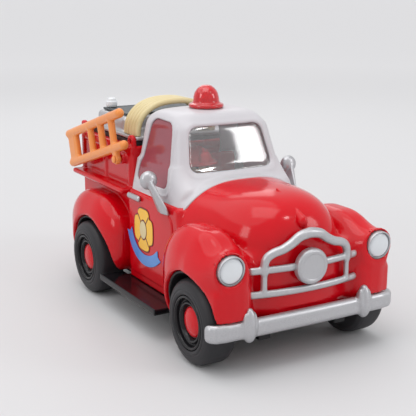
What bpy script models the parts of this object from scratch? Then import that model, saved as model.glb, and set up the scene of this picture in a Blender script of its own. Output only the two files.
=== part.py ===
"""Toy fire engine: a round-nosed pickup with a hose deck, a ladder and rolling wheels.

Metres, +Z up. The front is -Y, the symmetry plane is x = 0 and the origin is on the
ground under the middle of the truck.
"""
import math

import bmesh
import bpy
from mathutils import Matrix, Vector

mm = 0.001

# Overall layout
front_end = -140.3 * mm
gap = 0.3 * mm

# Running gear
wheel_radius = 30 * mm
tyre_width = 24 * mm
track_half = 63 * mm
front_axle_y = -99 * mm
rear_axle_y = 77 * mm
axle_radius = 2 * mm
rim_radius = 19 * mm
cap_radius = 10.8 * mm
cap_seat = 5.5 * mm
arch_radius = 36 * mm

# Chassis
floor_low = 20 * mm
floor_top = 23.7 * mm
floor_half = 45.4 * mm
step_half = 75 * mm
step_front = -52 * mm
step_rear = 37 * mm
floor_front = -109 * mm
horn_inner = 27 * mm
horn_outer = 36 * mm
horn_top = 34 * mm
tail_plate = 24.5 * mm
saddle_half = 11 * mm
saddle_top = 36 * mm
cover_thick = 3 * mm
cover_half = 9 * mm
cover_reach = 40 * mm
screw_head = 3 * mm
screw_shank = 1.2 * mm
head_sink = 1.9 * mm
boss_half = 4.2 * mm
boss_height = 16 * mm
door_screw_y = 12 * mm
screw_from_tail = 14.5 * mm

# Body shells
wall = 3 * mm
body_low = floor_top + gap
hood_centre = Vector((0, -70, 60)) * mm
hood_half = Vector((46, 61, 53)) * mm
hood_taper = 0.16
fender_centre = Vector((56, -90, 52)) * mm
fender_half = Vector((20, 42, 41)) * mm
nose_low = 39.5 * mm
nose_cut = -105 * mm
door_half = 54 * mm
door_front = -50 * mm
door_rear = 34.5 * mm
belt = 95.7 * mm

# Cab top
cab_low = belt + gap
cab_half_low = 50 * mm
cab_half_high = 39 * mm
cab_top_z = 159 * mm
cab_front = -50 * mm
cab_rear = 34.5 * mm
cab_wall = 2.6 * mm
roof_front = -20 * mm
roof_rear = 30 * mm

# Bed, hopper and lid
bed_half = 49 * mm
bed_front = 35 * mm
bed_rear = 136.5 * mm
bed_top = 127 * mm
bed_lip = 7 * mm
rail_half = 59.5 * mm
rail_low = 90.5 * mm
rail_top = 94.4 * mm
rear_fender_front = 35.8 * mm
rear_fender_end = bed_rear - 10.7 * mm
rear_fender_centre = Vector((54 * mm, (rear_fender_front + rear_fender_end) / 2, 48 * mm))
rear_fender_half = Vector((19 * mm, (rear_fender_end - rear_fender_front) / 2, 33 * mm))
tub_low = 62 * mm
tub_rear = bed_rear - 11 * mm
tub_room = 0.5 * mm
rim_half = 44.6 * mm
rim_front = 37.3 * mm
rim_rear = bed_rear - 7 * mm
rim_height = 3.4 * mm
lid_height = 3 * mm
hinge_y = bed_rear - 0.7 * mm
hinge_radius = 3.8 * mm
lug_thick = 3.6 * mm
lug_radius = 4.5 * mm
pin_radius = 1.5 * mm
front_lug_y = 40 * mm
front_lug_z = 131 * mm
front_lug_radius = 5 * mm

# Hose deck
strand_radius = 2.7 * mm
strand_pitch = 5 * mm
strand_count = 5
hose_centre_x = -7 * mm
hose_half = 34 * mm
hose_rise = 26.5 * mm
hump_front = 68 * mm
hump_rear = rim_rear - 5.5 * mm
hump_half = 40 * mm
hump_height = 12 * mm
tread_thick = 2 * mm
nozzle_x = -30 * mm
nozzle_y = hump_rear - 9 * mm

# Ladder
ladder_x = -58.5 * mm
ladder_pitch = math.radians(-16.5)
ladder_length = 114 * mm
ladder_width = 25 * mm
ladder_rail = 3.2 * mm
ladder_pivot = Vector((-58.5, 43.6, 117)) * mm
rung_count = 3

# Trim
bumper_back = -129.5 * mm
bumper_wrap = -123 * mm
bumper_bow = 3 * mm
bumper_low = 26 * mm
bumper_high = 38.5 * mm
bumper_half = 78 * mm
bumper_face = -137.3 * mm
guard_x = 47.5 * mm
guard_half = 5 * mm
rear_bar_half = 64 * mm
rear_bar_depth = 3.5 * mm
rear_end = bed_rear + gap + rear_bar_depth
tail_lamp_x = 38 * mm
tail_lamp_z = 62 * mm
grille_tube = 2.4 * mm
arch_tube = 3 * mm
grille_line = hood_centre.y - hood_half.y - gap - arch_tube
emblem_radius = 12.4 * mm
lamp_centre = Vector((60.6, -134, 74)) * mm
lamp_radius = 10 * mm
mirror_z = 112 * mm
mirror_y = -19 * mm
beacon_y = 4 * mm
beacon_radius = 10.4 * mm
beacon_flange = 13.8 * mm

# Driver and fittings
driver_x = -10 * mm
driver_y = 4 * mm
seat_top = 62 * mm
head_radius = 13 * mm
bench_front = -2 * mm
bench_back = door_rear - wall - 0.5 * mm
bench_high = 118 * mm
bench_half = 40 * mm
panel_front = door_front + wall + 1 * mm
panel_high = 93 * mm

parts = bpy.data.collections.new("toy_fire_engine")
helpers = bpy.data.collections.new("helpers")
axis_x = Vector((1, 0, 0))
axis_y = Vector((0, 1, 0))
axis_z = Vector((0, 0, 1))
sides = (("right", -1), ("left", 1))


def clear_scene():
    for item in list(bpy.data.objects):
        bpy.data.objects.remove(item, do_unlink=True)
    for group in (parts, helpers):
        bpy.context.scene.collection.children.link(group)


def make_material(name, colour, roughness, metallic=0.0):
    material = bpy.data.materials.new(name)
    material.use_nodes = True
    shader = material.node_tree.nodes["Principled BSDF"]
    shader.inputs["Base Color"].default_value = (*colour, 1)
    shader.inputs["Roughness"].default_value = roughness
    shader.inputs["Metallic"].default_value = metallic
    return material


def make_materials():
    return {
        "red": make_material("gloss_red", (0.68, 0.01, 0.02), 0.2),
        "white": make_material("cab_white", (0.78, 0.77, 0.8), 0.35),
        "silver": make_material("silver_paint", (0.52, 0.52, 0.53), 0.4, 0.6),
        "black": make_material("gloss_black", (0.02, 0.02, 0.02), 0.25),
        "rubber": make_material("tyre_grey", (0.06, 0.06, 0.065), 0.55),
        "orange": make_material("ladder_orange", (0.85, 0.3, 0.05), 0.45),
        "cream": make_material("hose_cream", (0.75, 0.65, 0.36), 0.5),
        "clear": make_material("window_clear", (0.8, 0.8, 0.82), 0.05),
        "tinted": make_material("window_tinted", (0.3, 0.05, 0.08), 0.1),
        "beacon": make_material("beacon_red", (0.75, 0.02, 0.02), 0.1),
        "lens": make_material("lamp_white", (0.75, 0.78, 0.8), 0.2),
        "skin": make_material("doll_tan", (0.75, 0.42, 0.2), 0.5),
        "steel": make_material("bare_steel", (0.55, 0.55, 0.56), 0.3, 1.0),
    }


# ---- modelling helpers

def place(name, mesh, material=None, location=(0, 0, 0)):
    item = bpy.data.objects.new(name, mesh)
    item.location = location
    group = parts if material else helpers
    group.objects.link(item)
    if material:
        if not mesh.materials:
            mesh.materials.append(material)
    else:
        item.hide_render = True
        item.display_type = "WIRE"
    return item


def mesh_from(work, name):
    mesh = bpy.data.meshes.new(name)
    bmesh.ops.recalc_face_normals(work, faces=work.faces)
    work.to_mesh(mesh)
    work.free()
    return mesh


def box(low, high, round_by=0.0, segments=2):
    """A box between two corners, with all its edges rounded if asked."""
    low, high = Vector(low), Vector(high)
    work = bmesh.new()
    bmesh.ops.create_cube(work, size=1)
    size = high - low
    middle = (low + high) / 2
    bmesh.ops.scale(work, vec=size, verts=work.verts)
    bmesh.ops.translate(work, vec=middle, verts=work.verts)
    if round_by:
        bmesh.ops.bevel(work, geom=work.edges[:], offset=round_by, segments=segments,
                        profile=0.5, affect="EDGES", clamp_overlap=True)
    return place("box", mesh_from(work, "box"))


def soft_box(centre, half, share, segments=4, taper=None):
    """A box whose corners are rounded by a share of each half size, like a pebble."""
    work = bmesh.new()
    bmesh.ops.create_cube(work, size=2)
    bmesh.ops.bevel(work, geom=work.edges[:], offset=share, segments=segments,
                    profile=0.5, affect="EDGES", clamp_overlap=True)
    bmesh.ops.scale(work, vec=half, verts=work.verts)
    bmesh.ops.translate(work, vec=centre, verts=work.verts)
    if taper:
        for vert in work.verts:
            vert.co.x *= taper(vert.co.y)
    bmesh.ops.triangulate(work, faces=work.faces)
    return place("soft_box", mesh_from(work, "soft_box"))


def rod(radius, start, end, segments=24):
    """A closed round bar between two points."""
    start, end = Vector(start), Vector(end)
    span = end - start
    work = bmesh.new()
    turn = axis_z.rotation_difference(span).to_matrix().to_4x4()
    bmesh.ops.create_cone(work, cap_ends=True, segments=segments, radius1=radius,
                          radius2=radius, depth=span.length,
                          matrix=Matrix.Translation((start + end) / 2) @ turn)
    return place("rod", mesh_from(work, "rod"))


def prism(outline, axis, low, high, round_by=0.0):
    """A flat outline pushed along X or Y. Outline points are (y, z) or (x, z)."""
    work = bmesh.new()
    if axis == "x":
        corners = [work.verts.new((low, a, b)) for a, b in outline]
        push = Vector((high - low, 0, 0))
    else:
        corners = [work.verts.new((a, low, b)) for a, b in outline]
        push = Vector((0, high - low, 0))
    face = work.faces.new(corners)
    made = bmesh.ops.extrude_face_region(work, geom=[face])["geom"]
    moved = [item for item in made if isinstance(item, bmesh.types.BMVert)]
    bmesh.ops.translate(work, vec=push, verts=moved)
    if round_by:
        along = [edge for edge in work.edges
                 if (edge.verts[0].co - edge.verts[1].co).cross(push).length < 1e-9]
        bmesh.ops.bevel(work, geom=along, offset=round_by, segments=3, profile=0.5,
                        affect="EDGES", clamp_overlap=True)
    return place("prism", mesh_from(work, "prism"))


def tube(points, radius, closed=False, sides=2):
    """A round tube along points, made from a curve and welded shut at its caps."""
    curve = bpy.data.curves.new("tube", "CURVE")
    curve.dimensions = "3D"
    curve.bevel_depth = radius
    curve.bevel_resolution = sides
    curve.use_fill_caps = True
    spline = curve.splines.new("POLY")
    spline.points.add(len(points) - 1)
    for spot, point in zip(spline.points, points):
        spot.co = (*point, 1)
    spline.use_cyclic_u = closed
    source = bpy.data.objects.new("tube", curve)
    helpers.objects.link(source)
    graph = bpy.context.evaluated_depsgraph_get()
    mesh = bpy.data.meshes.new_from_object(source.evaluated_get(graph))
    bpy.data.objects.remove(source)
    work = bmesh.new()
    work.from_mesh(mesh)
    bmesh.ops.remove_doubles(work, verts=work.verts, dist=1e-6)
    return place("tube", mesh_from(work, "tube"))


def evaluated(item):
    bpy.context.view_layer.update()
    graph = bpy.context.evaluated_depsgraph_get()
    mesh = bpy.data.meshes.new_from_object(item.evaluated_get(graph))
    mesh.transform(item.matrix_world)
    return mesh


def combine(target, others, operation):
    """Joins, cuts or intersects a mesh with helpers, one after another."""
    for other in others:
        modifier = target.modifiers.new("bool", "BOOLEAN")
        modifier.operation = operation
        modifier.object = other
        modifier.solver = "EXACT"
        mesh = evaluated(target)
        target.modifiers.remove(modifier)
        target.data = mesh
        target.matrix_world = Matrix()
        bpy.data.objects.remove(other)
    return target


def union(target, *others):
    return combine(target, others, "UNION")


def cut(target, *others):
    return combine(target, others, "DIFFERENCE")


def finish(name, helper, material, pivot=None):
    """Turns a finished helper shape into a named part, with its origin on its pivot."""
    mesh = helper.data
    mesh.transform(helper.matrix_world)
    bpy.data.objects.remove(helper)
    origin = Vector(pivot) if pivot else Vector((0, 0, 0))
    mesh.transform(Matrix.Translation(-origin))
    mesh.name = name
    mesh.materials.clear()
    mesh.shade_smooth()
    mesh.set_sharp_from_angle(angle=math.radians(35))
    return place(name, mesh, material, origin)


def turned(name, profile, material, location, axis, steps=32, closed=False):
    """A turned part. The profile is (radius, height) pairs from the top down its outside."""
    mesh = bpy.data.meshes.new(name)
    points = [(radius, 0, height) for radius, height in profile]
    count = len(points)
    edges = [(i, i + 1) for i in range(count - 1)]
    if closed:
        edges.append((count - 1, 0))
    mesh.from_pydata(points, edges, [])
    item = place(name, mesh, material, location)
    screw = item.modifiers.new("turn", "SCREW")
    screw.steps = steps
    screw.render_steps = steps
    screw.use_merge_vertices = True
    screw.merge_threshold = 0.00001
    screw.use_smooth_shade = True
    item.rotation_mode = "QUATERNION"
    item.rotation_quaternion = axis_z.rotation_difference(axis)
    return item


def mirrored(x_side, point):
    return Vector((point.x * x_side, point.y, point.z))


# ---- running gear

def make_wheels(paint):
    tread = wheel_radius
    half = tyre_width / 2
    bore = rim_radius + gap
    tyre_profile = [
        (tread - 4 * mm, half), (tread - 1 * mm, half - 2.2 * mm), (tread, half - 5 * mm),
        (tread, 5 * mm - half), (tread - 1 * mm, 2.2 * mm - half), (tread - 4 * mm, -half),
        (bore, -half), (bore, half)]
    face = half - 1.4 * mm
    back = 2 * mm - half
    hub_end = floor_half + gap - track_half
    rim_profile = [
        (rim_radius - 1.6 * mm, face), (rim_radius, face - 0.6 * mm), (rim_radius, back),
        (rim_radius - 2.2 * mm, back), (rim_radius - 2.2 * mm, 2 * mm),
        (5 * mm, 2 * mm), (5 * mm, hub_end), (axle_radius + gap, hub_end),
        (axle_radius + gap, cap_seat), (rim_radius - 3.5 * mm, cap_seat)]
    seat = cap_seat + gap
    cap_profile = [
        (0, seat + 4.4 * mm), (5 * mm, seat + 3.8 * mm), (cap_radius - 1.4 * mm, seat + 2.8 * mm),
        (cap_radius, seat + 1.8 * mm), (cap_radius, seat), (0, seat)]
    for end, axle_y in (("front", front_axle_y), ("rear", rear_axle_y)):
        reach = track_half + cap_seat - gap
        axle = rod(axle_radius, (-reach, axle_y, wheel_radius), (reach, axle_y, wheel_radius), 16)
        finish(f"{end}_axle", axle, paint["steel"], (0, axle_y, wheel_radius))
        for side, sign in sides:
            spot = Vector((sign * track_half, axle_y, wheel_radius))
            out = axis_x * sign
            turned(f"tyre_{end}_{side}", tyre_profile, paint["rubber"], spot, out, 32, True)
            turned(f"wheel_disc_{end}_{side}", rim_profile, paint["black"], spot, out, 20, True)
            turned(f"hub_cap_{end}_{side}", cap_profile, paint["red"], spot, out, 16)


def screw_spots():
    """Where the body screws sit: two under the doors and two under the bed."""
    doors = [Vector((sign * (door_half - wall - 2 * mm), door_screw_y, 0)) for _, sign in sides]
    tail = bed_rear - screw_from_tail
    bed = [Vector((sign * (bed_half - wall - 2 * mm), tail, 0)) for _, sign in sides]
    return doors + bed


def make_chassis(paint):
    chassis = box((-floor_half, floor_front, floor_low), (floor_half, bed_rear - 2 * mm, floor_top))
    union(chassis,
          box((-step_half, step_front, floor_low), (step_half, step_rear, floor_top), 1 * mm, 1))
    tail_half = bed_half - 0.6 * mm
    union(chassis, box((-tail_half, bed_rear - tail_plate, floor_low),
                       (tail_half, bed_rear - 3 * mm, floor_top)))
    for axle_y in (front_axle_y, rear_axle_y):
        union(chassis, box((-floor_half, axle_y - saddle_half, floor_top - 1 * mm),
                           (floor_half, axle_y + saddle_half, saddle_top)))
        slot = axle_radius + gap
        cut(chassis,
            box((-floor_half - 5 * mm, axle_y - slot, floor_low - 5 * mm),
                (floor_half + 5 * mm, axle_y + slot, wheel_radius + slot)))
    for _, sign in sides:
        ends = sorted((sign * horn_inner, sign * horn_outer))
        horn = box((ends[0], bumper_back + gap, floor_low + 0.5 * mm),
                   (ends[1], nose_cut - gap, horn_top))
        union(chassis, horn)
    for axle_y in (front_axle_y, rear_axle_y):
        side, reach = cover_half + gap, cover_reach + gap
        cut(chassis, box((-reach, axle_y - side, floor_low - mm),
                         (reach, axle_y + side, floor_low + cover_thick + gap)))
    for spot in screw_spots():
        cut(chassis, screw_hole(spot), head_pocket(spot))
    for spot in cover_screw_spots():
        cut(chassis, rod(screw_shank + gap, spot + axis_z * 10 * mm, spot + axis_z * 31 * mm, 12))
    finish("chassis", chassis, paint["black"])


def cover_screw_spots():
    return [Vector((0, axle_y + 6 * mm, 0)) for axle_y in (front_axle_y, rear_axle_y)]


def screw_hole(spot):
    return rod(screw_shank + gap, spot + axis_z * 10 * mm, spot + axis_z * 36 * mm, 12)


def head_pocket(spot):
    """A flat-bottomed pocket that keeps a screw's head inside the underside."""
    return rod(screw_head + gap, spot + axis_z * 10 * mm, spot + axis_z * (floor_low + head_sink), 16)


def make_axle_covers(paint):
    """Each cover lies flush in the underside, with a rib that traps the axle in its slot."""
    for (end, axle_y), spot in zip((("front", front_axle_y), ("rear", rear_axle_y)),
                                   cover_screw_spots()):
        high = floor_low + cover_thick
        cover = box((-cover_reach, axle_y - cover_half, floor_low),
                    (cover_reach, axle_y + cover_half, high))
        rib_top = wheel_radius - axle_radius - gap
        union(cover, box((2 * mm - cover_reach, axle_y - axle_radius, high - mm),
                         (cover_reach - 2 * mm, axle_y + axle_radius, rib_top)))
        cut(cover, screw_hole(spot), head_pocket(spot))
        finish(f"axle_cover_{end}", cover, paint["black"])


def make_screw(name, spot, length, paint):
    """A pan-head screw, driven upward, with its head under the pocket's ceiling."""
    under = floor_low + head_sink - gap
    profile = [(0, length), (screw_shank, length - 1 * mm), (screw_shank, 0),
               (screw_head, 0), (screw_head - 0.3 * mm, -1.3 * mm), (0, -1.5 * mm)]
    turned(name, profile, paint["steel"], (spot.x, spot.y, under), axis_z, 8)


def make_screws(paint):
    for number, spot in enumerate(screw_spots(), 1):
        make_screw(f"body_screw_{number}", spot, 12 * mm, paint)
    for end, spot in zip(("front", "rear"), cover_screw_spots()):
        make_screw(f"cover_screw_{end}", spot, 8 * mm, paint)


# ---- body

def hood_width(y):
    """The hood narrows from the cab to the nose."""
    share = (door_front - y) / (door_front - (hood_centre.y - hood_half.y))
    return 1 - hood_taper * min(max(share, 0), 1)


def body_solids(inset):
    """The hood, both front fenders and the door box, drawn in by a wall thickness."""
    shrink = Vector((inset, inset, inset))
    solids = [soft_box(hood_centre, hood_half - shrink, 0.55, 4, hood_width)]
    for _, sign in sides:
        solids.append(soft_box(mirrored(sign, fender_centre), fender_half - shrink, 0.75))
    solids.append(box((inset - door_half, door_front + inset, body_low - 8 * mm),
                      (door_half - inset, door_rear - inset, belt + inset * 4), 4 * mm - inset, 2))
    return solids


def screw_boss(spot):
    """A square post that grows from the side wall, down past the shell's cut edge."""
    corner = Vector((boss_half, boss_half, 0))
    return box(spot - corner + axis_z * (body_low - 4 * mm),
               spot + corner + axis_z * (body_low + boss_height))


def saddle_room(axle_y):
    """The space that a shell leaves clear around the chassis' axle saddle."""
    room = 1 * mm
    return box((-floor_half - room, axle_y - saddle_half - room, body_low - 5 * mm),
               (floor_half + room, axle_y + saddle_half + room, saddle_top + room))


def make_cab_body(paint):
    outer = body_solids(0)
    body = outer[0]
    union(body, *outer[1:])
    reach = 200 * mm
    cut(body, box((-reach, door_front - gap, belt), (reach, reach, reach)))
    cut(body, *body_solids(wall))
    union(body, *[screw_boss(spot) for spot in screw_spots()[:2]])
    cut(body, box((-reach, -reach, -reach), (reach, reach, body_low)))
    cut(body, box((-reach, -reach, -reach), (reach, nose_cut, nose_low)))
    cut(body, saddle_room(front_axle_y))
    for _, sign in sides:
        inner = sign * (floor_half + 4.5 * mm)
        cut(body, rod(arch_radius, (inner, front_axle_y, wheel_radius),
                      (sign * reach, front_axle_y, wheel_radius), 32))
        lamp = mirrored(sign, lamp_centre)
        cut(body, rod(lamp_radius + gap, lamp - axis_y * 20 * mm, lamp + axis_y * 14 * mm, 32))
    cut(body, *[screw_hole(spot) for spot in screw_spots()[:2]])
    finish("cab_body", body, paint["red"])


def lug(x_low, x_high, y, z, radius, foot):
    """A round ear standing on a foot height, with no hole yet."""
    ear = rod(radius, (x_low, y, z), (x_high, y, z), 20)
    union(ear, box((x_low, y - radius, foot), (x_high, y + radius, z)))
    return ear


def make_bed_body(paint):
    body = box((-bed_half, bed_front, body_low - 5 * mm), (bed_half, bed_rear, bed_top), 1.2 * mm, 1)
    for _, sign in sides:
        union(body, soft_box(mirrored(sign, rear_fender_centre), rear_fender_half, 0.7))
        outer = sign * rail_half
        inner = sign * (bed_half - mm)
        union(body, box((min(outer, inner), bed_front, rail_low),
                        (max(outer, inner), bed_rear, rail_top), 0.8 * mm, 1))
    cavity_half = bed_half - wall
    cut(body, box((-cavity_half, bed_front + wall, -10 * mm),
                  (cavity_half, bed_rear - wall, bed_top - wall)))
    shrink = Vector((wall, wall, wall))
    reach = 200 * mm
    for _, sign in sides:
        cut(body, soft_box(mirrored(sign, rear_fender_centre), rear_fender_half - shrink, 0.7))
        cut(body, rod(arch_radius - mm, (sign * (floor_half + 4.5 * mm), rear_axle_y, wheel_radius),
                      (sign * reach, rear_axle_y, wheel_radius), 32))
    union(body, *[screw_boss(spot) for spot in screw_spots()[2:]])
    opening = bed_half - bed_lip
    cut(body, box((-opening, bed_front + bed_lip, 100 * mm),
                  (opening, tub_rear + tub_room, bed_top + 5 * mm)))
    cut(body, box((-reach, -reach, -reach), (reach, reach, body_low)))
    for _, sign in sides:
        for y, z, radius, hole in ((front_lug_y, front_lug_z, front_lug_radius, 2 * mm),
                                   (hinge_y, hinge_height(), lug_radius, pin_radius + gap)):
            inner = sign * (bed_half - lug_thick)
            outer = sign * (bed_half - gap)
            ends = (min(inner, outer), max(inner, outer))
            union(body, lug(ends[0], ends[1], y, z, radius, bed_top - 2 * mm))
            cut(body, rod(hole, (ends[0] - mm, y, z), (ends[1] + mm, y, z), 16))
    cut(body, *[screw_hole(spot) for spot in screw_spots()[2:]])
    bracket = rod(4 * mm, (1 * mm - bed_half, ladder_pivot.y, ladder_pivot.z),
                  (ladder_x + ladder_rail, ladder_pivot.y, ladder_pivot.z), 20)
    union(body, bracket)
    cut(body, rod(pin_radius + gap, (ladder_x, ladder_pivot.y, ladder_pivot.z),
                  (1 * mm - bed_half, ladder_pivot.y, ladder_pivot.z), 16))
    finish("bed_body", body, paint["red"])


def hinge_height():
    return bed_top + gap + hinge_radius


def offset_outline(points, distance):
    """Moves each edge of an outline inward and meets neighbours again. Runs clockwise."""
    moved = []
    count = len(points)
    for index in range(count):
        before = Vector(points[index - 1])
        here = Vector(points[index])
        after = Vector(points[(index + 1) % count])
        first = (here - before).normalized()
        second = (after - here).normalized()
        normal_a = Vector((first.y, -first.x))
        normal_b = Vector((second.y, -second.x))
        half = (normal_a + normal_b).normalized()
        scale = distance / max(half.dot(normal_a), 0.2)
        moved.append(tuple(here + half * scale))
    return moved


def cab_solid(inset, low):
    """The cab as a tapered block with rounded edges, drawn in by a wall."""
    side = [(cab_front, low), (cab_front, 107 * mm), (-38 * mm, 115 * mm),
            (roof_front - 5 * mm, 152 * mm), (roof_front, cab_top_z), (roof_rear, cab_top_z),
            (roof_rear + 3 * mm, 152 * mm), (cab_rear, low)]
    if inset:
        side = offset_outline(side, inset)
    work = bmesh.new()
    wide = 80 * mm
    corners = [work.verts.new((-wide, y, z)) for y, z in side]
    face = work.faces.new(corners)
    made = bmesh.ops.extrude_face_region(work, geom=[face])["geom"]
    moved = [item for item in made if isinstance(item, bmesh.types.BMVert)]
    bmesh.ops.translate(work, vec=(2 * wide, 0, 0), verts=moved)
    slope = (cab_half_low - cab_half_high) / (152 * mm - cab_low)
    for _, sign in sides:
        normal = Vector((sign, 0, slope)).normalized()
        spot = Vector((sign * (cab_half_low - inset), 0, cab_low))
        cutting = bmesh.ops.bisect_plane(work, geom=work.verts[:] + work.edges[:] + work.faces[:],
                                         plane_co=spot, plane_no=normal, clear_outer=True)
        rim = [item for item in cutting["geom_cut"] if isinstance(item, bmesh.types.BMEdge)]
        bmesh.ops.edgeloop_fill(work, edges=rim)
    upright = [edge for edge in work.edges if min(v.co.z for v in edge.verts) > low - mm
               and max(v.co.z for v in edge.verts) > low + 5 * mm]
    bmesh.ops.bevel(work, geom=upright, offset=7 * mm - inset, segments=3, profile=0.5,
                    affect="EDGES", clamp_overlap=True)
    bmesh.ops.dissolve_degenerate(work, dist=1e-6, edges=work.edges[:])
    return place("cab", mesh_from(work, "cab"))


def window_outlines(shrink):
    """The four window openings as prisms, each drawn in by a clearance."""
    side = [(-24 * mm, 104 * mm), (-14 * mm, 151 * mm), (19 * mm, 152 * mm), (28 * mm, 103 * mm)]
    front = [(-36 * mm, 117 * mm), (-31 * mm, 149 * mm), (31 * mm, 149 * mm), (36 * mm, 117 * mm)]
    back = [(-31 * mm, 112 * mm), (-27 * mm, 146 * mm), (27 * mm, 146 * mm), (31 * mm, 112 * mm)]
    if shrink:
        side, front, back = [offset_outline(shape, shrink) for shape in (side, front, back)]
    return {
        "side_window_right": prism(side, "x", -90 * mm, -20 * mm, 4 * mm),
        "side_window_left": prism(side, "x", 20 * mm, 90 * mm, 4 * mm),
        "windshield": prism(front, "y", -90 * mm, -8 * mm, 4 * mm),
        "rear_window": prism(back, "y", 10 * mm, 60 * mm, 4 * mm),
    }


def cab_shell():
    shell = cab_solid(0, cab_low)
    cut(shell, cab_solid(cab_wall, cab_low - 10 * mm))
    return shell


def make_cab_top(paint):
    roof = cab_shell()
    cut(roof, *window_outlines(0).values())
    finish("cab_top", roof, paint["white"])
    for name, opening in window_outlines(gap).items():
        pane = cab_shell()
        combine(pane, [opening], "INTERSECT")
        finish(name, pane, paint["tinted" if "side" in name else "clear"])


def make_beacon(paint):
    seat = cab_top_z + gap
    spot = Vector((0, beacon_y, seat))
    dome = beacon_radius
    rise = 17.4 * mm
    arc = [(dome * math.cos(math.radians(a)), 5 * mm + (rise - 5 * mm) * math.sin(math.radians(a)))
           for a in range(66, -1, -22)]
    inner = dome - 2 * mm
    inside = [(inner * math.cos(math.radians(a)), 5 * mm + (rise - 7 * mm) * math.sin(math.radians(a)))
              for a in range(0, 67, 22)]
    profile = ([(0, rise)] + arc + [(dome, 2.4 * mm), (beacon_flange, 2.2 * mm),
               (beacon_flange, 0), (inner, 0)] + inside + [(0, rise - 2 * mm)])
    turned("beacon_lens", profile, paint["beacon"], spot, axis_z, 20)
    reflector = [(0, 11 * mm), (2.6 * mm, 10 * mm), (3.4 * mm, 4 * mm), (7 * mm, 2 * mm),
                 (7 * mm, 0), (0, 0)]
    turned("beacon_reflector", reflector, paint["silver"], spot, axis_z, 12)


# ---- bed fittings

def make_hopper(paint):
    tub_half = bed_half - bed_lip - tub_room
    front = bed_front + bed_lip + tub_room
    rim_low = bed_top + gap
    tub = box((-tub_half, front, tub_low), (tub_half, tub_rear, rim_low + mm))
    union(tub, box((-rim_half, rim_front, rim_low), (rim_half, rim_rear, rim_low + rim_height)))
    inner = tub_half - 2 * mm
    cut(tub, box((-inner, front + 2 * mm, tub_low + 2 * mm), (inner, tub_rear - 2 * mm, 150 * mm)))
    finish("hopper_tub", tub, paint["black"])


def lid_low():
    return bed_top + 2 * gap + rim_height


def make_lid(paint):
    low = lid_low()
    high = low + lid_height
    pivot = Vector((0, hinge_y, hinge_height()))
    lid = box((-rim_half, rim_front, low), (rim_half, rim_rear, high), 0.8 * mm, 1)
    hump = box((-hump_half, hump_front, high - mm), (hump_half, hump_rear, high + hump_height),
               4 * mm, 3)
    union(lid, hump)
    reach = bed_half - lug_thick - gap
    union(lid, box((-reach, rim_rear - 2 * mm, low), (reach, hinge_y, high)))
    union(lid, rod(hinge_radius, (-reach, pivot.y, pivot.z), (reach, pivot.y, pivot.z), 20))
    cut(lid, rod(pin_radius + gap, (-bed_half, pivot.y, pivot.z), (bed_half, pivot.y, pivot.z), 16))
    cut(lid, box((2.5 * mm - hump_half, hump_front + 2.5 * mm, low - 5 * mm),
                 (hump_half - 2.5 * mm, hump_rear - 2.5 * mm, high + hump_height - 2.5 * mm)))
    finish("bed_lid", lid, paint["silver"], pivot)
    pin = rod(pin_radius, (-bed_half, pivot.y, pivot.z), (bed_half, pivot.y, pivot.z), 12)
    finish("lid_hinge_pin", pin, paint["steel"])
    top = high + hump_height + gap
    tread = box((4 * mm - hump_half, hump_front + 4 * mm, top),
                (hump_half - 4 * mm, hump_rear - 4 * mm, top + tread_thick), 0.6 * mm, 1)
    finish("deck_tread", tread, paint["black"])
    knob = [(0, 8 * mm), (3.2 * mm, 7.6 * mm), (4.8 * mm, 6 * mm), (5 * mm, 1.5 * mm),
            (4.2 * mm, 0), (0, 0)]
    turned("hose_nozzle", knob, paint["silver"],
           (nozzle_x, nozzle_y, top + tread_thick + gap), axis_z, 16)


def make_hose(paint):
    """Hose bundle: strands side by side, each bent over the deck in a flattened arch."""
    foot = lid_low() + lid_height + gap
    first = rim_front + strand_radius + 0.8 * mm
    coil = None
    for strand in range(strand_count):
        y = first + strand * strand_pitch
        points = []
        for step in range(13):
            turn = math.pi * (1 - step / 12)
            across = math.copysign(abs(math.cos(turn)) ** 0.85, math.cos(turn))
            rise = math.sin(turn) ** 0.85
            points.append((hose_centre_x + hose_half * across, y, foot + hose_rise * rise))
        strand_tube = tube(points, strand_radius, sides=1)
        coil = union(coil, strand_tube) if coil else strand_tube
    cut(coil, box((-90 * mm, 0, 0), (90 * mm, 150 * mm, foot)))
    finish("hose_coil", coil, paint["cream"])


def ladder_point(along, across):
    """A point on the ladder: along runs rearward, across runs up, from the pivot."""
    y = along * math.cos(ladder_pitch) - across * math.sin(ladder_pitch)
    z = along * math.sin(ladder_pitch) + across * math.cos(ladder_pitch)
    return ladder_pivot + Vector((0, y, z))


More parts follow.
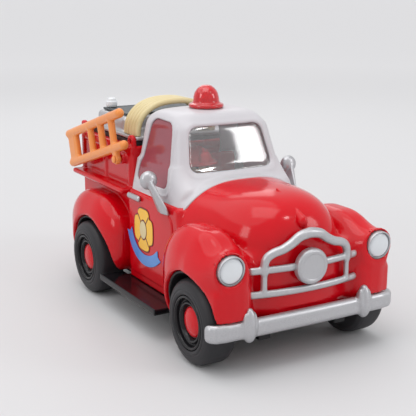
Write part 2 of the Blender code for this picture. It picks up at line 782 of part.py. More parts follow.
def make_ladder(paint):
    base = 9 * mm
    front = -19 * mm
    rear = front + ladder_length
    lower = tube([ladder_point(front, base), ladder_point(rear, base)], ladder_rail, sides=2)
    upper_across = base + ladder_width
    union(lower, tube([ladder_point(front, upper_across), ladder_point(rear, upper_across)],
                      ladder_rail, sides=2))
    gaps = rung_count + 1
    plate = 14 * mm
    open_span = ladder_length - plate - 8 * mm
    for rung in range(rung_count):
        along = front + 12 * mm + rung * open_span / gaps
        union(lower, tube([ladder_point(along, base), ladder_point(along, upper_across)],
                          2.4 * mm, sides=1))
    corners = [ladder_point(rear - plate, base), ladder_point(rear - plate, upper_across),
               ladder_point(rear - 1 * mm, upper_across), ladder_point(rear - 1 * mm, base)]
    union(lower, prism([(c.y, c.z) for c in corners], "x", ladder_x - 2 * mm, ladder_x + 2 * mm))
    hook = rod(4 * mm, ladder_point(0, 0) - axis_x * 2 * mm, ladder_point(0, 0) + axis_x * 2 * mm, 20)
    arm = [ladder_point(-3.5 * mm, 0), ladder_point(-3.5 * mm, base),
           ladder_point(3.5 * mm, base), ladder_point(3.5 * mm, 0)]
    union(lower, hook)
    union(lower, prism([(c.y, c.z) for c in arm], "x", ladder_x - 2 * mm, ladder_x + 2 * mm))
    cut(lower, rod(pin_radius + gap, ladder_point(0, 0) - axis_x * 9 * mm,
                   ladder_point(0, 0) + axis_x * 9 * mm, 16))
    finish("ladder", lower, paint["orange"], ladder_pivot)
    head = rod(3 * mm, ladder_pivot - axis_x * 3.8 * mm, ladder_pivot - axis_x * 2.3 * mm, 16)
    union(head, rod(pin_radius, ladder_pivot - axis_x * 3 * mm, ladder_pivot + axis_x * 8 * mm, 12))
    finish("ladder_pivot_pin", head, paint["orange"])


# ---- trim

def bumper_front(x):
    """The bumper bows gently, then turns back sharply where it passes the tyre."""
    share = abs(x) / bumper_half
    wrap = bumper_wrap - bumper_face - bumper_bow
    return bumper_face + bumper_bow * share ** 2 + wrap * share ** 16


def bumper_bar():
    """The bumper seen from above, given its height: bowed in front, hollowed for the tyres."""
    steps = 9
    half_front = [bumper_half * math.sin(math.pi / 2 * i / steps) for i in range(steps + 1)]
    xs = [-x for x in reversed(half_front[1:])] + half_front
    front = [(x, bumper_front(x)) for x in xs]
    tyre_side = track_half + tyre_width / 2
    corner = [(tyre_side + mm, bumper_wrap), (tyre_side - 0.6 * mm, bumper_back + 2 * mm),
              (tyre_side - 4 * mm, bumper_back)]
    back = corner + [(-x, y) for x, y in reversed(corner)]
    work = bmesh.new()
    outline = work.faces.new([work.verts.new((x, y, bumper_low)) for x, y in front + back])
    made = bmesh.ops.extrude_face_region(work, geom=[outline])["geom"]
    moved = [item for item in made if isinstance(item, bmesh.types.BMVert)]
    bmesh.ops.translate(work, vec=(0, 0, bumper_high - bumper_low), verts=moved)
    return place("bumper", mesh_from(work, "bumper"))


def make_bumpers(paint):
    bumper = bumper_bar()
    for _, sign in sides:
        x = sign * guard_x
        union(bumper, box((x - guard_half, front_end, 24 * mm), (x + guard_half, -132.2 * mm, 47 * mm),
                          2.2 * mm, 2))
    finish("front_bumper", bumper, paint["silver"])
    rear_bar = box((-rear_bar_half, bed_rear + gap, bumper_low),
                   (rear_bar_half, rear_end, bumper_low + 12 * mm), 1.2 * mm, 2)
    finish("rear_bumper", rear_bar, paint["silver"])
    for side, sign in sides:
        lamp = [(0, 3.4 * mm), (4 * mm, 3 * mm), (5.6 * mm, 1.8 * mm), (6 * mm, 0), (0, 0)]
        turned(f"tail_lamp_{side}", lamp, paint["beacon"],
               (sign * tail_lamp_x, bed_rear + gap, tail_lamp_z), axis_y, 14)


def bar_y(x, bow):
    """How far forward a grille bar stands at a given width."""
    return grille_line + bow * (x / (44 * mm)) ** 2


def bowed_bar(half, z, bow):
    steps = 8
    xs = [half * (2 * i / steps - 1) for i in range(steps + 1)]
    return tube([(x, bar_y(x, bow), z) for x in xs], grille_tube, sides=1)


def make_grille(paint):
    frame = bowed_bar(41 * mm, 69.5 * mm, 4 * mm)
    union(frame, bowed_bar(43 * mm, 53 * mm, 4 * mm))
    for _, sign in sides:
        x = sign * 34 * mm
        union(frame, tube([(x, bar_y(x, 4 * mm), 53 * mm), (x, bar_y(x, 4 * mm), 69.5 * mm)],
                          grille_tube * 0.9, sides=1))
    arch = []
    for step in range(13):
        turn = math.pi * (1 - step / 12)
        x = 34 * mm * math.cos(turn)
        arch.append((x, bar_y(x, 4 * mm), 69.5 * mm + 21.5 * mm * math.sin(turn) ** 0.8))
    union(frame, tube(arch, arch_tube, sides=1))
    finish("grille_frame", frame, paint["silver"])
    disc = [(0, 2.4 * mm), (emblem_radius - 3 * mm, 2.2 * mm), (emblem_radius - 2.6 * mm, 2.9 * mm),
            (emblem_radius - 1 * mm, 2.9 * mm), (emblem_radius, 1.8 * mm), (emblem_radius, 0), (0, 0)]
    front = grille_line - grille_tube - gap
    turned("grille_emblem", disc, paint["silver"], (0, front, 69 * mm), -axis_y, 24)


def make_headlights(paint):
    for side, sign in sides:
        spot = mirrored(sign, lamp_centre)
        r = lamp_radius
        bezel = [(r - 1.9 * mm, 0.6 * mm), (r - 0.5 * mm, 0.6 * mm), (r, 0), (r, -12 * mm),
                 (r - 4 * mm, -13.5 * mm), (0, -13.5 * mm), (0, -3.2 * mm), (r - 1.4 * mm, -3.2 * mm)]
        bezel = [bezel[i] for i in (6, 7, 0, 1, 2, 3, 4, 5)]
        turned(f"headlight_bezel_{side}", bezel, paint["silver"], spot, -axis_y, 20)
        lens_r = r - 2.2 * mm
        lens = [(0, 1.2 * mm), (lens_r * 0.5, 0.9 * mm), (lens_r * 0.85, -0.2 * mm),
                (lens_r, -1.2 * mm), (lens_r, -2.9 * mm), (0, -2.9 * mm)]
        turned(f"headlight_lens_{side}", lens, paint["lens"], spot, -axis_y, 20)


def make_mirrors(paint):
    for side, sign in sides:
        ball = soft_box((sign * 62 * mm, mirror_y, mirror_z), (6.2 * mm, 5 * mm, 6.2 * mm), 0.9, 2)
        foot = sign * (door_half + gap + 1.6 * mm)
        union(ball, tube([(sign * 61.5 * mm, mirror_y, mirror_z - 4 * mm), (foot, -24 * mm, 88 * mm)],
                         2 * mm, sides=1))
        ends = sorted((sign * (door_half + gap), sign * (door_half + 3.6 * mm)))
        union(ball, box((ends[0], -29 * mm, 82 * mm), (ends[1], -20 * mm, 91 * mm), 0.8 * mm, 1))
        finish(f"mirror_{side}", ball, paint["silver"])


def make_handles(paint):
    for side, sign in sides:
        ends = sorted((sign * (door_half + gap), sign * (door_half + 4 * mm)))
        bar = box((ends[0], 8 * mm, 89 * mm), (ends[1], 29 * mm, 93.6 * mm), 1.3 * mm, 2)
        finish(f"door_handle_{side}", bar, paint["silver"])


# ---- cab interior

def make_interior(paint):
    floor = body_low
    board = 3 * mm
    bench = [(bench_front, floor), (bench_front, seat_top), (bench_back - 10 * mm, seat_top),
             (bench_back - 6 * mm, bench_high), (bench_back, bench_high), (bench_back, floor),
             (bench_back - board, floor), (bench_back - board, seat_top - board),
             (bench_front + board, seat_top - board), (bench_front + board, floor)]
    seat = prism(bench, "x", -bench_half, bench_half)
    finish("seat_bench", seat, paint["red"])
    face = panel_front + 11 * mm
    panel = [(panel_front, floor), (panel_front, panel_high), (face, panel_high),
             (face, panel_high - 7 * mm), (panel_front + board, panel_high - 7 * mm),
             (panel_front + board, floor)]
    dash = prism(panel, "x", -42 * mm, 42 * mm)
    finish("dashboard", dash, paint["black"])
    hub = Vector((driver_x, face + gap, panel_high - 3.5 * mm))
    wheel_middle = hub + Vector((0, 9 * mm, 3 * mm))
    tilt = Vector((0, 9, 3)).normalized()
    ring = []
    sideways = axis_x
    upward = tilt.cross(sideways)
    for step in range(16):
        turn = 2 * math.pi * step / 16
        ring.append(wheel_middle + sideways * 10.5 * mm * math.cos(turn)
                    + upward * 10.5 * mm * math.sin(turn))
    wheel = tube(ring, 1.4 * mm, closed=True, sides=1)
    for sign in (-1, 1):
        union(wheel, rod(1.2 * mm, wheel_middle, wheel_middle + sideways * 10.5 * mm * sign, 8))
    cut_back = rod(2.4 * mm, hub, wheel_middle + tilt * 1 * mm, 12)
    union(wheel, cut_back)
    cut(wheel, box((-90 * mm, -60 * mm, 0), (90 * mm, hub.y, 150 * mm)))
    finish("steering_wheel", wheel, paint["black"])


def make_driver(paint):
    seat = seat_top + gap
    body_top = seat + 40 * mm
    body = soft_box((driver_x, driver_y + 2 * mm, (seat + body_top) / 2),
                    (15 * mm, 10 * mm, 20 * mm), 0.6, 2)
    for sign in (-1, 1):
        shoulder = Vector((driver_x + sign * 14 * mm, driver_y, body_top - 9 * mm))
        elbow = Vector((driver_x + sign * 17 * mm, -8 * mm, body_top - 13 * mm))
        hand = Vector((driver_x + sign * 12 * mm, -20.5 * mm, body_top - 8 * mm))
        union(body, tube([shoulder, elbow, hand], 3.4 * mm, sides=1))
    finish("driver_body", body, paint["red"])
    head_z = body_top + gap + head_radius - 1 * mm
    r = head_radius
    head = [(r * math.sin(math.radians(a)), r * math.cos(math.radians(a))) for a in range(0, 157, 26)]
    head = [(0, r)] + head[1:] + [(0, head[-1][1])]
    lift = body_top + gap - head[-1][1]
    spot = (driver_x, driver_y, lift)
    turned("driver_head", head, paint["skin"], spot, axis_z, 18)
    inner = r + 0.4 * mm
    outer = inner + 2 * mm
    crown = [(outer * math.sin(math.radians(a)), outer * math.cos(math.radians(a)))
             for a in range(0, 76, 25)]
    under = [(inner * math.sin(math.radians(a)), inner * math.cos(math.radians(a)))
             for a in range(75, -1, -25)]
    brim = [(outer + 3 * mm, 2.4 * mm), (outer + 3 * mm, 0.8 * mm), (inner, 0.8 * mm)]
    helmet = [(0, outer)] + crown[1:] + brim + under[:-1] + [(0, inner)]
    turned("driver_helmet", helmet, paint["red"], spot, axis_z, 18)


def stand_over_origin():
    """Hangs every part on one empty, moved so that the middle of the truck is the origin."""
    bpy.context.view_layer.update()
    corners = [item.matrix_world @ vert.co for item in parts.objects
               for vert in item.data.vertices]
    middle = (min(c.y for c in corners) + max(c.y for c in corners)) / 2
    stand = bpy.data.objects.new("truck", None)
    stand.location.y = -round(middle, 5)
    pieces = list(parts.objects)
    parts.objects.link(stand)
    for item in pieces:
        item.parent = stand


def build():
    clear_scene()
    paint = make_materials()
    make_wheels(paint)
    make_chassis(paint)
    make_axle_covers(paint)
    make_screws(paint)
    make_cab_body(paint)
    make_bed_body(paint)
    make_cab_top(paint)
    make_beacon(paint)
    make_hopper(paint)
    make_lid(paint)
    make_hose(paint)
    make_ladder(paint)
    make_bumpers(paint)
    make_grille(paint)
    make_headlights(paint)
    make_mirrors(paint)
    make_handles(paint)
    make_interior(paint)
    make_driver(paint)
    stand_over_origin()


build()
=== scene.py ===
import math

import bpy
import numpy as np
from mathutils import Euler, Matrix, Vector


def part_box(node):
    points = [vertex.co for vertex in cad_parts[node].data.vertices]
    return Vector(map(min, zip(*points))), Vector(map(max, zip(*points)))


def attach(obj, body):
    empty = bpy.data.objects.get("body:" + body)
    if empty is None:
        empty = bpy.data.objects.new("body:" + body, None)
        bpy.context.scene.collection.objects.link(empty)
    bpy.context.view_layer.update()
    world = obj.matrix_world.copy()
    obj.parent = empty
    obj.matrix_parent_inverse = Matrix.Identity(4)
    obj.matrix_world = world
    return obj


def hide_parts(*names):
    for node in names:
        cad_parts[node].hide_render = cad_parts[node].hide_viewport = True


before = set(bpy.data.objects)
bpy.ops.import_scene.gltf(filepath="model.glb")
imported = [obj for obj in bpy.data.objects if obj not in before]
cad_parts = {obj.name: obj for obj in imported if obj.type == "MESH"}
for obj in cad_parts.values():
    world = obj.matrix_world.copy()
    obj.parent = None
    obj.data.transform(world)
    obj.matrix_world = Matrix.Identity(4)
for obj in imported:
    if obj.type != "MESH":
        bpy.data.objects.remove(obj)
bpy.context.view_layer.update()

# Every size below is a drawing size in millimetres: nose towards -Y, ground at 0,
# front axle at y = -99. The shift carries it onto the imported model.
mm = 0.001
frontAxleY = -99.0
rearAxleY = 77.0


def middle(node):
    low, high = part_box(node)
    return (low + high) / 2


shiftY = middle("front_axle").y / mm - frontAxleY
scene = bpy.context.scene
scene.view_settings.view_transform = "Standard"
toySet = bpy.data.collections.new("toy")
stageSet = bpy.data.collections.new("stage")
scene.collection.children.link(toySet)
scene.collection.children.link(stageSet)
bothSides = (("right", -1), ("left", 1))


def toWorld(points):
    return (np.asarray(points, float) + (0, shiftY, 0)) * mm


# Camera, floor and lights
camera = {
    "at": (-0.35324, -0.61318, 0.25355),
    "turn": (math.pi / 2 - 0.2419, 0, -0.5236),
    "lens": 79.6,
}
lights = {
    # name: place, aim, width, height, watts
    "overhead": ((-0.15, -0.15, 1.3), (0, 0, 0.05), 1.0, 0.7, 3.4),
    "leftSide": ((-1.35, -0.15, 0.75), (0, 0, 0.07), 0.4, 0.5, 2.4),
    "screenSide": ((0.8, -0.86, 0.6), (0, -0.035, 0.13), 0.3, 0.46, 1.9),
    "highRight": ((0.55, -0.9, 1.25), (0, -0.02, 0.07), 0.16, 0.2, 1.2),
    "behind": ((0.4, 1.0, 0.8), (0, 0.05, 0.08), 0.7, 0.5, 1.4),
}
sun = {"turn": (-0.22, -0.3, 0.0), "strength": 0.92, "softness": 1.3}
studio = {"backdrop": 0.715, "ambient": 0.62, "floor": 0.69, "floorSize": 40.0,
          "near": 0.3, "far": 2.2, "nearTone": 0.95, "farTone": 1.2,
          "paperGrain": 3.0, "paperRough": 0.55, "paperGloss": 0.25}


def makeCamera():
    lensData = bpy.data.cameras.new("camera")
    lensData.lens = camera["lens"]
    lensData.sensor_width = 36
    lensData.clip_start = 0.01
    lensData.clip_end = 60
    eye = bpy.data.objects.new("camera", lensData)
    eye.location = camera["at"]
    eye.rotation_euler = Euler(camera["turn"])
    stageSet.objects.link(eye)
    scene.camera = eye


def makeLights():
    for name, (place, aim, width, height, watts) in lights.items():
        lamp = bpy.data.lights.new(name, "AREA")
        lamp.shape = "RECTANGLE"
        lamp.size = width
        lamp.size_y = height
        lamp.energy = watts
        holder = bpy.data.objects.new(name, lamp)
        holder.location = place
        holder.rotation_euler = (Vector(aim) - Vector(place)).to_track_quat("-Z", "Y").to_euler()
        stageSet.objects.link(holder)
    lamp = bpy.data.lights.new("sky", "SUN")
    lamp.energy = sun["strength"]
    lamp.angle = sun["softness"]
    holder = bpy.data.objects.new("sky", lamp)
    holder.rotation_euler = Euler(sun["turn"])
    stageSet.objects.link(holder)


def seenByEye(nodes, links):
    # One for the eye, a mirror or a window, nought where it lights the toy
    path = nodes.new("ShaderNodeLightPath")
    most = path.outputs["Is Camera Ray"]
    for other in ("Is Glossy Ray", "Is Transmission Ray"):
        step = nodes.new("ShaderNodeMath")
        step.operation = "MAXIMUM"
        links.new(most, step.inputs[0])
        links.new(path.outputs[other], step.inputs[1])
        most = step.outputs[0]
    return most


def makeStudio():
    world = bpy.data.worlds.new("studio")
    scene.world = world
    world.use_nodes = True
    nodes, links = world.node_tree.nodes, world.node_tree.links
    nodes.clear()
    ambient = nodes.new("ShaderNodeBackground")
    ambient.inputs["Color"].default_value = (1, 0.995, 1, 1)
    ambient.inputs["Strength"].default_value = studio["ambient"]
    backdrop = nodes.new("ShaderNodeBackground")
    backdrop.inputs["Color"].default_value = (1, 1, 1.02, 1)
    backdrop.inputs["Strength"].default_value = studio["backdrop"]
    mix = nodes.new("ShaderNodeMixShader")
    out = nodes.new("ShaderNodeOutputWorld")
    links.new(seenByEye(nodes, links), mix.inputs[0])
    links.new(ambient.outputs[0], mix.inputs[1])
    links.new(backdrop.outputs[0], mix.inputs[2])
    links.new(mix.outputs[0], out.inputs[0])

    half = studio["floorSize"] / 2
    mesh = bpy.data.meshes.new("floor")
    mesh.from_pydata([(-half, -half, 0), (half, -half, 0), (half, half, 0), (-half, half, 0)],
                     [], [(0, 1, 2, 3)])
    floor = bpy.data.objects.new("floor", mesh)
    paper = bpy.data.materials.new("paper")
    paper.use_nodes = True
    nodes, links = paper.node_tree.nodes, paper.node_tree.links
    base = nodes["Principled BSDF"]
    grain = nodes.new("ShaderNodeTexNoise")
    grain.inputs["Scale"].default_value = studio["paperGrain"]
    tint = nodes.new("ShaderNodeValToRGB")
    tone = studio["floor"]
    tint.color_ramp.elements[0].color = (tone * 0.985, tone * 0.985, tone, 1)
    tint.color_ramp.elements[1].color = (tone, tone, tone * 1.02, 1)
    links.new(grain.outputs["Fac"], tint.inputs[0])
    # The paper is lit less further off, so its tone rises there to stay even
    place = nodes.new("ShaderNodeTexCoord")
    away = nodes.new("ShaderNodeVectorMath")
    away.operation = "LENGTH"
    links.new(place.outputs["Object"], away.inputs[0])
    lift = nodes.new("ShaderNodeMapRange")
    lift.inputs["From Min"].default_value = studio["near"]
    lift.inputs["From Max"].default_value = studio["far"]
    lift.inputs["To Min"].default_value = studio["nearTone"]
    lift.inputs["To Max"].default_value = studio["farTone"]
    links.new(away.outputs["Value"], lift.inputs["Value"])
    lit = nodes.new("ShaderNodeVectorMath")
    lit.operation = "SCALE"
    links.new(tint.outputs[0], lit.inputs[0])
    links.new(lift.outputs[0], lit.inputs["Scale"])
    links.new(lit.outputs[0], base.inputs["Base Color"])
    base.inputs["Roughness"].default_value = studio["paperRough"]
    base.inputs["Specular IOR Level"].default_value = studio["paperGloss"]
    mesh.materials.append(paper)
    stageSet.objects.link(floor)


makeCamera()
makeLights()
makeStudio()
print("studio ready")


def tuned(material, socket, value):
    material.node_tree.nodes["Principled BSDF"].inputs[socket].default_value = value


plastic = {"toneFrom": 0.35, "toneTo": 0.65, "bumpDeep": 0.0004, "coatRough": 0.06}


def mouldedPlastic(name, deep, bright, rough, roughSpread=0.05, grain=140.0, ripple=0.02,
                   metallic=0.0, coat=0.0, colourScale=18.0):
    # Noise moves the colour between two close tones, and moves gloss and surface a little
    material = bpy.data.materials.new(name)
    material.use_nodes = True
    nodes, links = material.node_tree.nodes, material.node_tree.links
    base = nodes["Principled BSDF"]
    place = nodes.new("ShaderNodeTexCoord")
    cloud = nodes.new("ShaderNodeTexNoise")
    cloud.inputs["Scale"].default_value = colourScale
    cloud.inputs["Detail"].default_value = 3
    links.new(place.outputs["Object"], cloud.inputs["Vector"])
    tones = nodes.new("ShaderNodeValToRGB")
    tones.color_ramp.elements[0].position = plastic["toneFrom"]
    tones.color_ramp.elements[0].color = (*deep, 1)
    tones.color_ramp.elements[1].position = plastic["toneTo"]
    tones.color_ramp.elements[1].color = (*bright, 1)
    links.new(cloud.outputs["Fac"], tones.inputs[0])
    links.new(tones.outputs[0], base.inputs["Base Color"])
    fine = nodes.new("ShaderNodeTexNoise")
    fine.inputs["Scale"].default_value = grain
    fine.inputs["Detail"].default_value = 2
    links.new(place.outputs["Object"], fine.inputs["Vector"])
    gloss = nodes.new("ShaderNodeMapRange")
    gloss.inputs["To Min"].default_value = max(rough - roughSpread, 0.02)
    gloss.inputs["To Max"].default_value = rough + roughSpread
    links.new(fine.outputs["Fac"], gloss.inputs["Value"])
    links.new(gloss.outputs[0], base.inputs["Roughness"])
    bump = nodes.new("ShaderNodeBump")
    bump.inputs["Strength"].default_value = ripple
    bump.inputs["Distance"].default_value = plastic["bumpDeep"]
    links.new(fine.outputs["Fac"], bump.inputs["Height"])
    links.new(bump.outputs[0], base.inputs["Normal"])
    base.inputs["Metallic"].default_value = metallic
    base.inputs["Coat Weight"].default_value = coat
    base.inputs["Coat Roughness"].default_value = plastic["coatRough"]
    return material


def lin(red, green, blue):
    # A screen colour from 0 to 255 as the light it stands for
    return tuple(((c / 255) / 12.92 if c < 10.3 else ((c / 255 + 0.055) / 1.055) ** 2.4)
                 for c in (red, green, blue))


finishes = {
    "red": mouldedPlastic("redGloss", lin(202, 3, 20), lin(211, 6, 24), 0.14, 0.03, 220, 0.012,
                          coat=0.12),
    "white": mouldedPlastic("whiteSatin", lin(200, 197, 202), lin(205, 203, 207), 0.36, 0.04, 260,
                            0.02),
    "silver": mouldedPlastic("silverPaint", lin(176, 176, 179), lin(198, 198, 201), 0.34, 0.05,
                             1800, 0.06, metallic=0.6, colourScale=2600.0),
    "black": mouldedPlastic("blackGloss", lin(20, 19, 22), lin(28, 27, 30), 0.16, 0.04, 200, 0.015),
    "liner": mouldedPlastic("blackMatt", lin(14, 13, 15), lin(20, 19, 21), 0.5, 0.06, 160, 0.03),
    "rubber": mouldedPlastic("tyreSatin", lin(40, 39, 42), lin(49, 48, 51), 0.46, 0.05, 420, 0.05),
    "orange": mouldedPlastic("orangePlastic", lin(238, 142, 62), lin(244, 152, 72), 0.3, 0.05, 160,
                             0.03, coat=0.2),
    "cream": mouldedPlastic("creamHose", lin(214, 197, 146), lin(224, 208, 160), 0.36, 0.06, 300,
                            0.05, coat=0.1),
    "lens": mouldedPlastic("paleLens", lin(222, 226, 230), lin(230, 234, 238), 0.2, 0.03, 160,
                           0.01, coat=0.4),
    "skin": mouldedPlastic("dollSkin", lin(226, 172, 132), lin(232, 180, 140), 0.38, 0.05, 200, 0.02),
    "steel": mouldedPlastic("steelPin", lin(140, 140, 142), lin(160, 160, 162), 0.3, 0.08, 500, 0.05,
                            metallic=0.95),
    "clear": mouldedPlastic("clearPane", (0.97, 0.97, 0.98), (0.99, 0.99, 1.0), 0.03, 0.01, 120,
                            0.0, coat=1.0),
    "tinted": mouldedPlastic("smokyPane", lin(160, 74, 86), lin(170, 84, 96), 0.12, 0.02, 120,
                             0.008, coat=0.4),
    "beacon": mouldedPlastic("beaconRed", lin(232, 8, 24), lin(242, 14, 32), 0.06, 0.02, 120, 0.01,
                             coat=0.9),
    "yellow": mouldedPlastic("badgeYellow", lin(246, 184, 16), lin(252, 194, 28), 0.25, 0.03, 200,
                             0.01, coat=0.3),
    "blue": mouldedPlastic("ribbonBlue", lin(68, 132, 208), lin(84, 148, 222), 0.25, 0.03, 200,
                           0.01, coat=0.3),
    "brown": mouldedPlastic("badgeLine", lin(96, 24, 18), lin(110, 30, 22), 0.3, 0.03, 200, 0.01),
    "dark": mouldedPlastic("deckDark", lin(52, 58, 60), lin(68, 74, 76), 0.42, 0.06, 200, 0.06),
}
tuned(finishes["clear"], "Transmission Weight", 1.0)
tuned(finishes["clear"], "IOR", 1.06)
tuned(finishes["clear"], "Coat IOR", 2.1)
tuned(finishes["clear"], "Coat Roughness", 0.08)
tuned(finishes["tinted"], "Transmission Weight", 0.2)
tuned(finishes["tinted"], "IOR", 1.35)
for dull in ("red", "black", "rubber"):
    tuned(finishes[dull], "Specular IOR Level", 0.3)
tuned(finishes["beacon"], "Transmission Weight", 0.45)
tuned(finishes["beacon"], "IOR", 1.4)
print("finishes ready")


def makePiece(name, points, faces, finish, body="truck", stands=()):
    mesh = bpy.data.meshes.new(name)
    mesh.from_pydata(toWorld(points).tolist(), [], [tuple(face) for face in faces])
    mesh.polygons.foreach_set("use_smooth", [True] * len(mesh.polygons))
    mesh.materials.append(finishes[finish])
    mesh.validate()
    piece = bpy.data.objects.new(name, mesh)
    toySet.objects.link(piece)
    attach(piece, body)
    if stands:
        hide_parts(*stands)
    return piece


def wrap(field, low, high, step, halves=False):
    # Wraps a skin of quads round the space where field is below nought
    low = np.array(low, float)
    count = np.ceil((np.array(high, float) - low) / step).astype(int) + 1
    if halves:
        middleIndex = int(math.ceil(-low[0] / step))
        low[0] = -middleIndex * step
        count[0] = 2 * middleIndex + 1
    axes = [low[a] + step * np.arange(count[a]) for a in range(3)]

    def sample(xs):
        slabs = []
        for start in range(0, len(xs), 16):
            grid = np.meshgrid(xs[start:start + 16], axes[1], axes[2], indexing="ij")
            spots = np.stack(grid, -1).reshape(-1, 3)
            slabs.append(field(spots).reshape(-1, count[1], count[2]))
        return np.concatenate(slabs)

    if halves:
        right = sample(axes[0][middleIndex:])
        value = np.concatenate([right[:0:-1], right])
    else:
        value = sample(axes[0])
    inside = value < 0
    corners = np.zeros(count - 1, int)
    for i in (0, 1):
        for j in (0, 1):
            for k in (0, 1):
                corners += inside[i:count[0] - 1 + i, j:count[1] - 1 + j, k:count[2] - 1 + k]
    mixed = (corners > 0) & (corners < 8)
    number = np.full(mixed.shape, -1)
    number[mixed] = np.arange(mixed.sum())
    total = np.zeros((*mixed.shape, 3))
    hits = np.zeros(mixed.shape)
    quads = []
    for a in range(3):
        b, c = (a + 1) % 3, (a + 2) % 3
        turned = value.transpose(a, b, c)
        first, second = turned[:-1], turned[1:]
        crossing = (first < 0) != (second < 0)
        share = np.where(crossing, first / np.where(crossing, first - second, 1), 0)
        sumView = total.transpose(a, b, c, 3)
        hitView = hits.transpose(a, b, c)
        for j in (0, 1):
            for k in (0, 1):
                part = np.s_[:, j:count[b] - 1 + j, k:count[c] - 1 + k]
                hitView += crossing[part]
                sumView[..., a] += share[part]
                sumView[..., b] += j * crossing[part]
                sumView[..., c] += k * crossing[part]
        ids = number.transpose(a, b, c)
        core = crossing[:, 1:-1, 1:-1]
        faces = np.stack([ids[:, :-1, :-1][core], ids[:, 1:, :-1][core],
                          ids[:, 1:, 1:][core], ids[:, :-1, 1:][core]], 1)
        back = ~(first[:, 1:-1, 1:-1][core] < 0)
        faces[back] = faces[back][:, ::-1]
        quads.append(faces)
    index = np.argwhere(mixed)
    points = low + step * (index + total[mixed] / hits[mixed][:, None])
    for _ in range(3):
        base = field(points)
        slope = np.empty_like(points)
        for a in range(3):
            moved = points.copy()
            moved[:, a] += 0.03
            slope[:, a] = (field(moved) - base) / 0.03
        move = base / np.maximum((slope ** 2).sum(1), 0.05)
        points -= np.clip(move[:, None] * slope, -0.5 * step, 0.5 * step)
    return points, np.concatenate(quads)


# Spaces: each takes points and gives the distance outside it, below nought inside

def pebble(p, centre, half, share):
    half = np.array(half, float)
    q = np.abs(p - centre) / half - (1 - share)
    over = np.maximum(q, 0)
    length = np.sqrt((over ** 2).sum(1))
    slope = np.sqrt(((over / half) ** 2).sum(1)) / np.maximum(length, 1e-6)
    slope = np.where(length > 1e-6, slope, 1 / half.min())
    return (length + np.minimum(q.max(1), 0) - share) / slope


def block(p, low, high, round=1.0):
    low, high = np.array(low, float), np.array(high, float)
    q = np.abs(p - (low + high) / 2) - (high - low) / 2 + round
    return np.sqrt((np.maximum(q, 0) ** 2).sum(1)) + np.minimum(q.max(1), 0) - round


def bar(p, start, end, radius, endRadius=None, squash=(1, 1, 1)):
    squash = np.array(squash, float)
    start, end = np.array(start, float) / squash, np.array(end, float) / squash
    p = p / squash
    along = end - start
    share = np.clip((p - start) @ along / max(along @ along, 1e-9), 0, 1)
    thick = radius + ((radius if endRadius is None else endRadius) - radius) * share
    return np.sqrt(((p - start - share[:, None] * along) ** 2).sum(1)) - thick


def drum(p, centre, axis, radius, half, round=0.6):
    d = p - centre
    others = [a for a in range(3) if a != axis]
    out = np.sqrt(d[:, others[0]] ** 2 + d[:, others[1]] ** 2) - radius + round
    up = np.abs(d[:, axis]) - half + round
    return (np.sqrt(np.maximum(out, 0) ** 2 + np.maximum(up, 0) ** 2)
            + np.minimum(np.maximum(out, up), 0) - round)


def outline(u, v, corners, round=3.0):
    # A flat shape with its corners listed clockwise, seen with u to the right and v up
    far = None
    for here, there in zip(corners, corners[1:] + corners[:1]):
        du, dv = there[0] - here[0], there[1] - here[1]
        size = math.hypot(du, dv)
        side = ((u - here[0]) * -dv + (v - here[1]) * du) / size
        far = side if far is None else meet(far, side, round)
    return far


def join(a, b, round=0.0):
    if not round:
        return np.minimum(a, b)
    near = np.maximum(round - np.abs(a - b), 0) / round
    return np.minimum(a, b) - near * near * round / 4


def meet(a, b, round=0.0):
    return -join(-a, -b, round)


def carve(a, b, round=0.0):
    return meet(a, -b, round)


def mirror(p):
    return np.stack([np.abs(p[:, 0]), p[:, 1], p[:, 2]], 1)


def addWrapped(name, field, low, high, step, finish, body="truck", stands=(), halves=False):
    points, faces = wrap(field, low, high, step, halves)
    makePiece(name, points, faces, finish, body, stands)
    print(name, len(faces), "faces")


def easedProfile(corners, round, steps=4):
    # Softens the corners of an open line of (radius, height) points
    line = [corners[0]]
    for before, here, after in zip(corners, corners[1:], corners[2:]):
        a, b, c = Vector(before), Vector(here), Vector(after)
        reach = min(round, (a - b).length * 0.45, (c - b).length * 0.45)
        start = b + (a - b).normalized() * reach
        end = b + (c - b).normalized() * reach
        for step in range(steps + 1):
            t = step / steps
            line.append(tuple(start * (1 - t) ** 2 + b * 2 * t * (1 - t) + end * t * t))
    line.append(corners[-1])
    return line


def spin(profile, centre, axis, steps=72):
    # Turns (radius, height) points round an axis. Height runs along the axis
    turn = Vector((0, 0, 1)).rotation_difference(Vector(axis)).to_matrix()
    points, rows, faces = [], [], []
    for radius, height in profile:
        if radius < 1e-4:
            rows.append([len(points)] * steps)
            points.append(turn @ Vector((0, 0, height)) + Vector(centre))
            continue
        rows.append(list(range(len(points), len(points) + steps)))
        for step in range(steps):
            angle = 2 * math.pi * step / steps
            spot = Vector((radius * math.cos(angle), radius * math.sin(angle), height))
            points.append(turn @ spot + Vector(centre))
    for upper, lower in zip(rows, rows[1:]):
        for step in range(steps):
            after = (step + 1) % steps
            face = [upper[step], lower[step], lower[after], upper[after]]
            face = list(dict.fromkeys(face))
            if len(face) > 2:
                faces.append(face)
    return [tuple(p) for p in points], faces


def addTurned(name, corners, centre, axis, finish, body="truck", stands=(), round=0.5, steps=72):
    points, faces = spin(easedProfile(corners, round), centre, axis, steps)
    makePiece(name, points, faces, finish, body, stands)


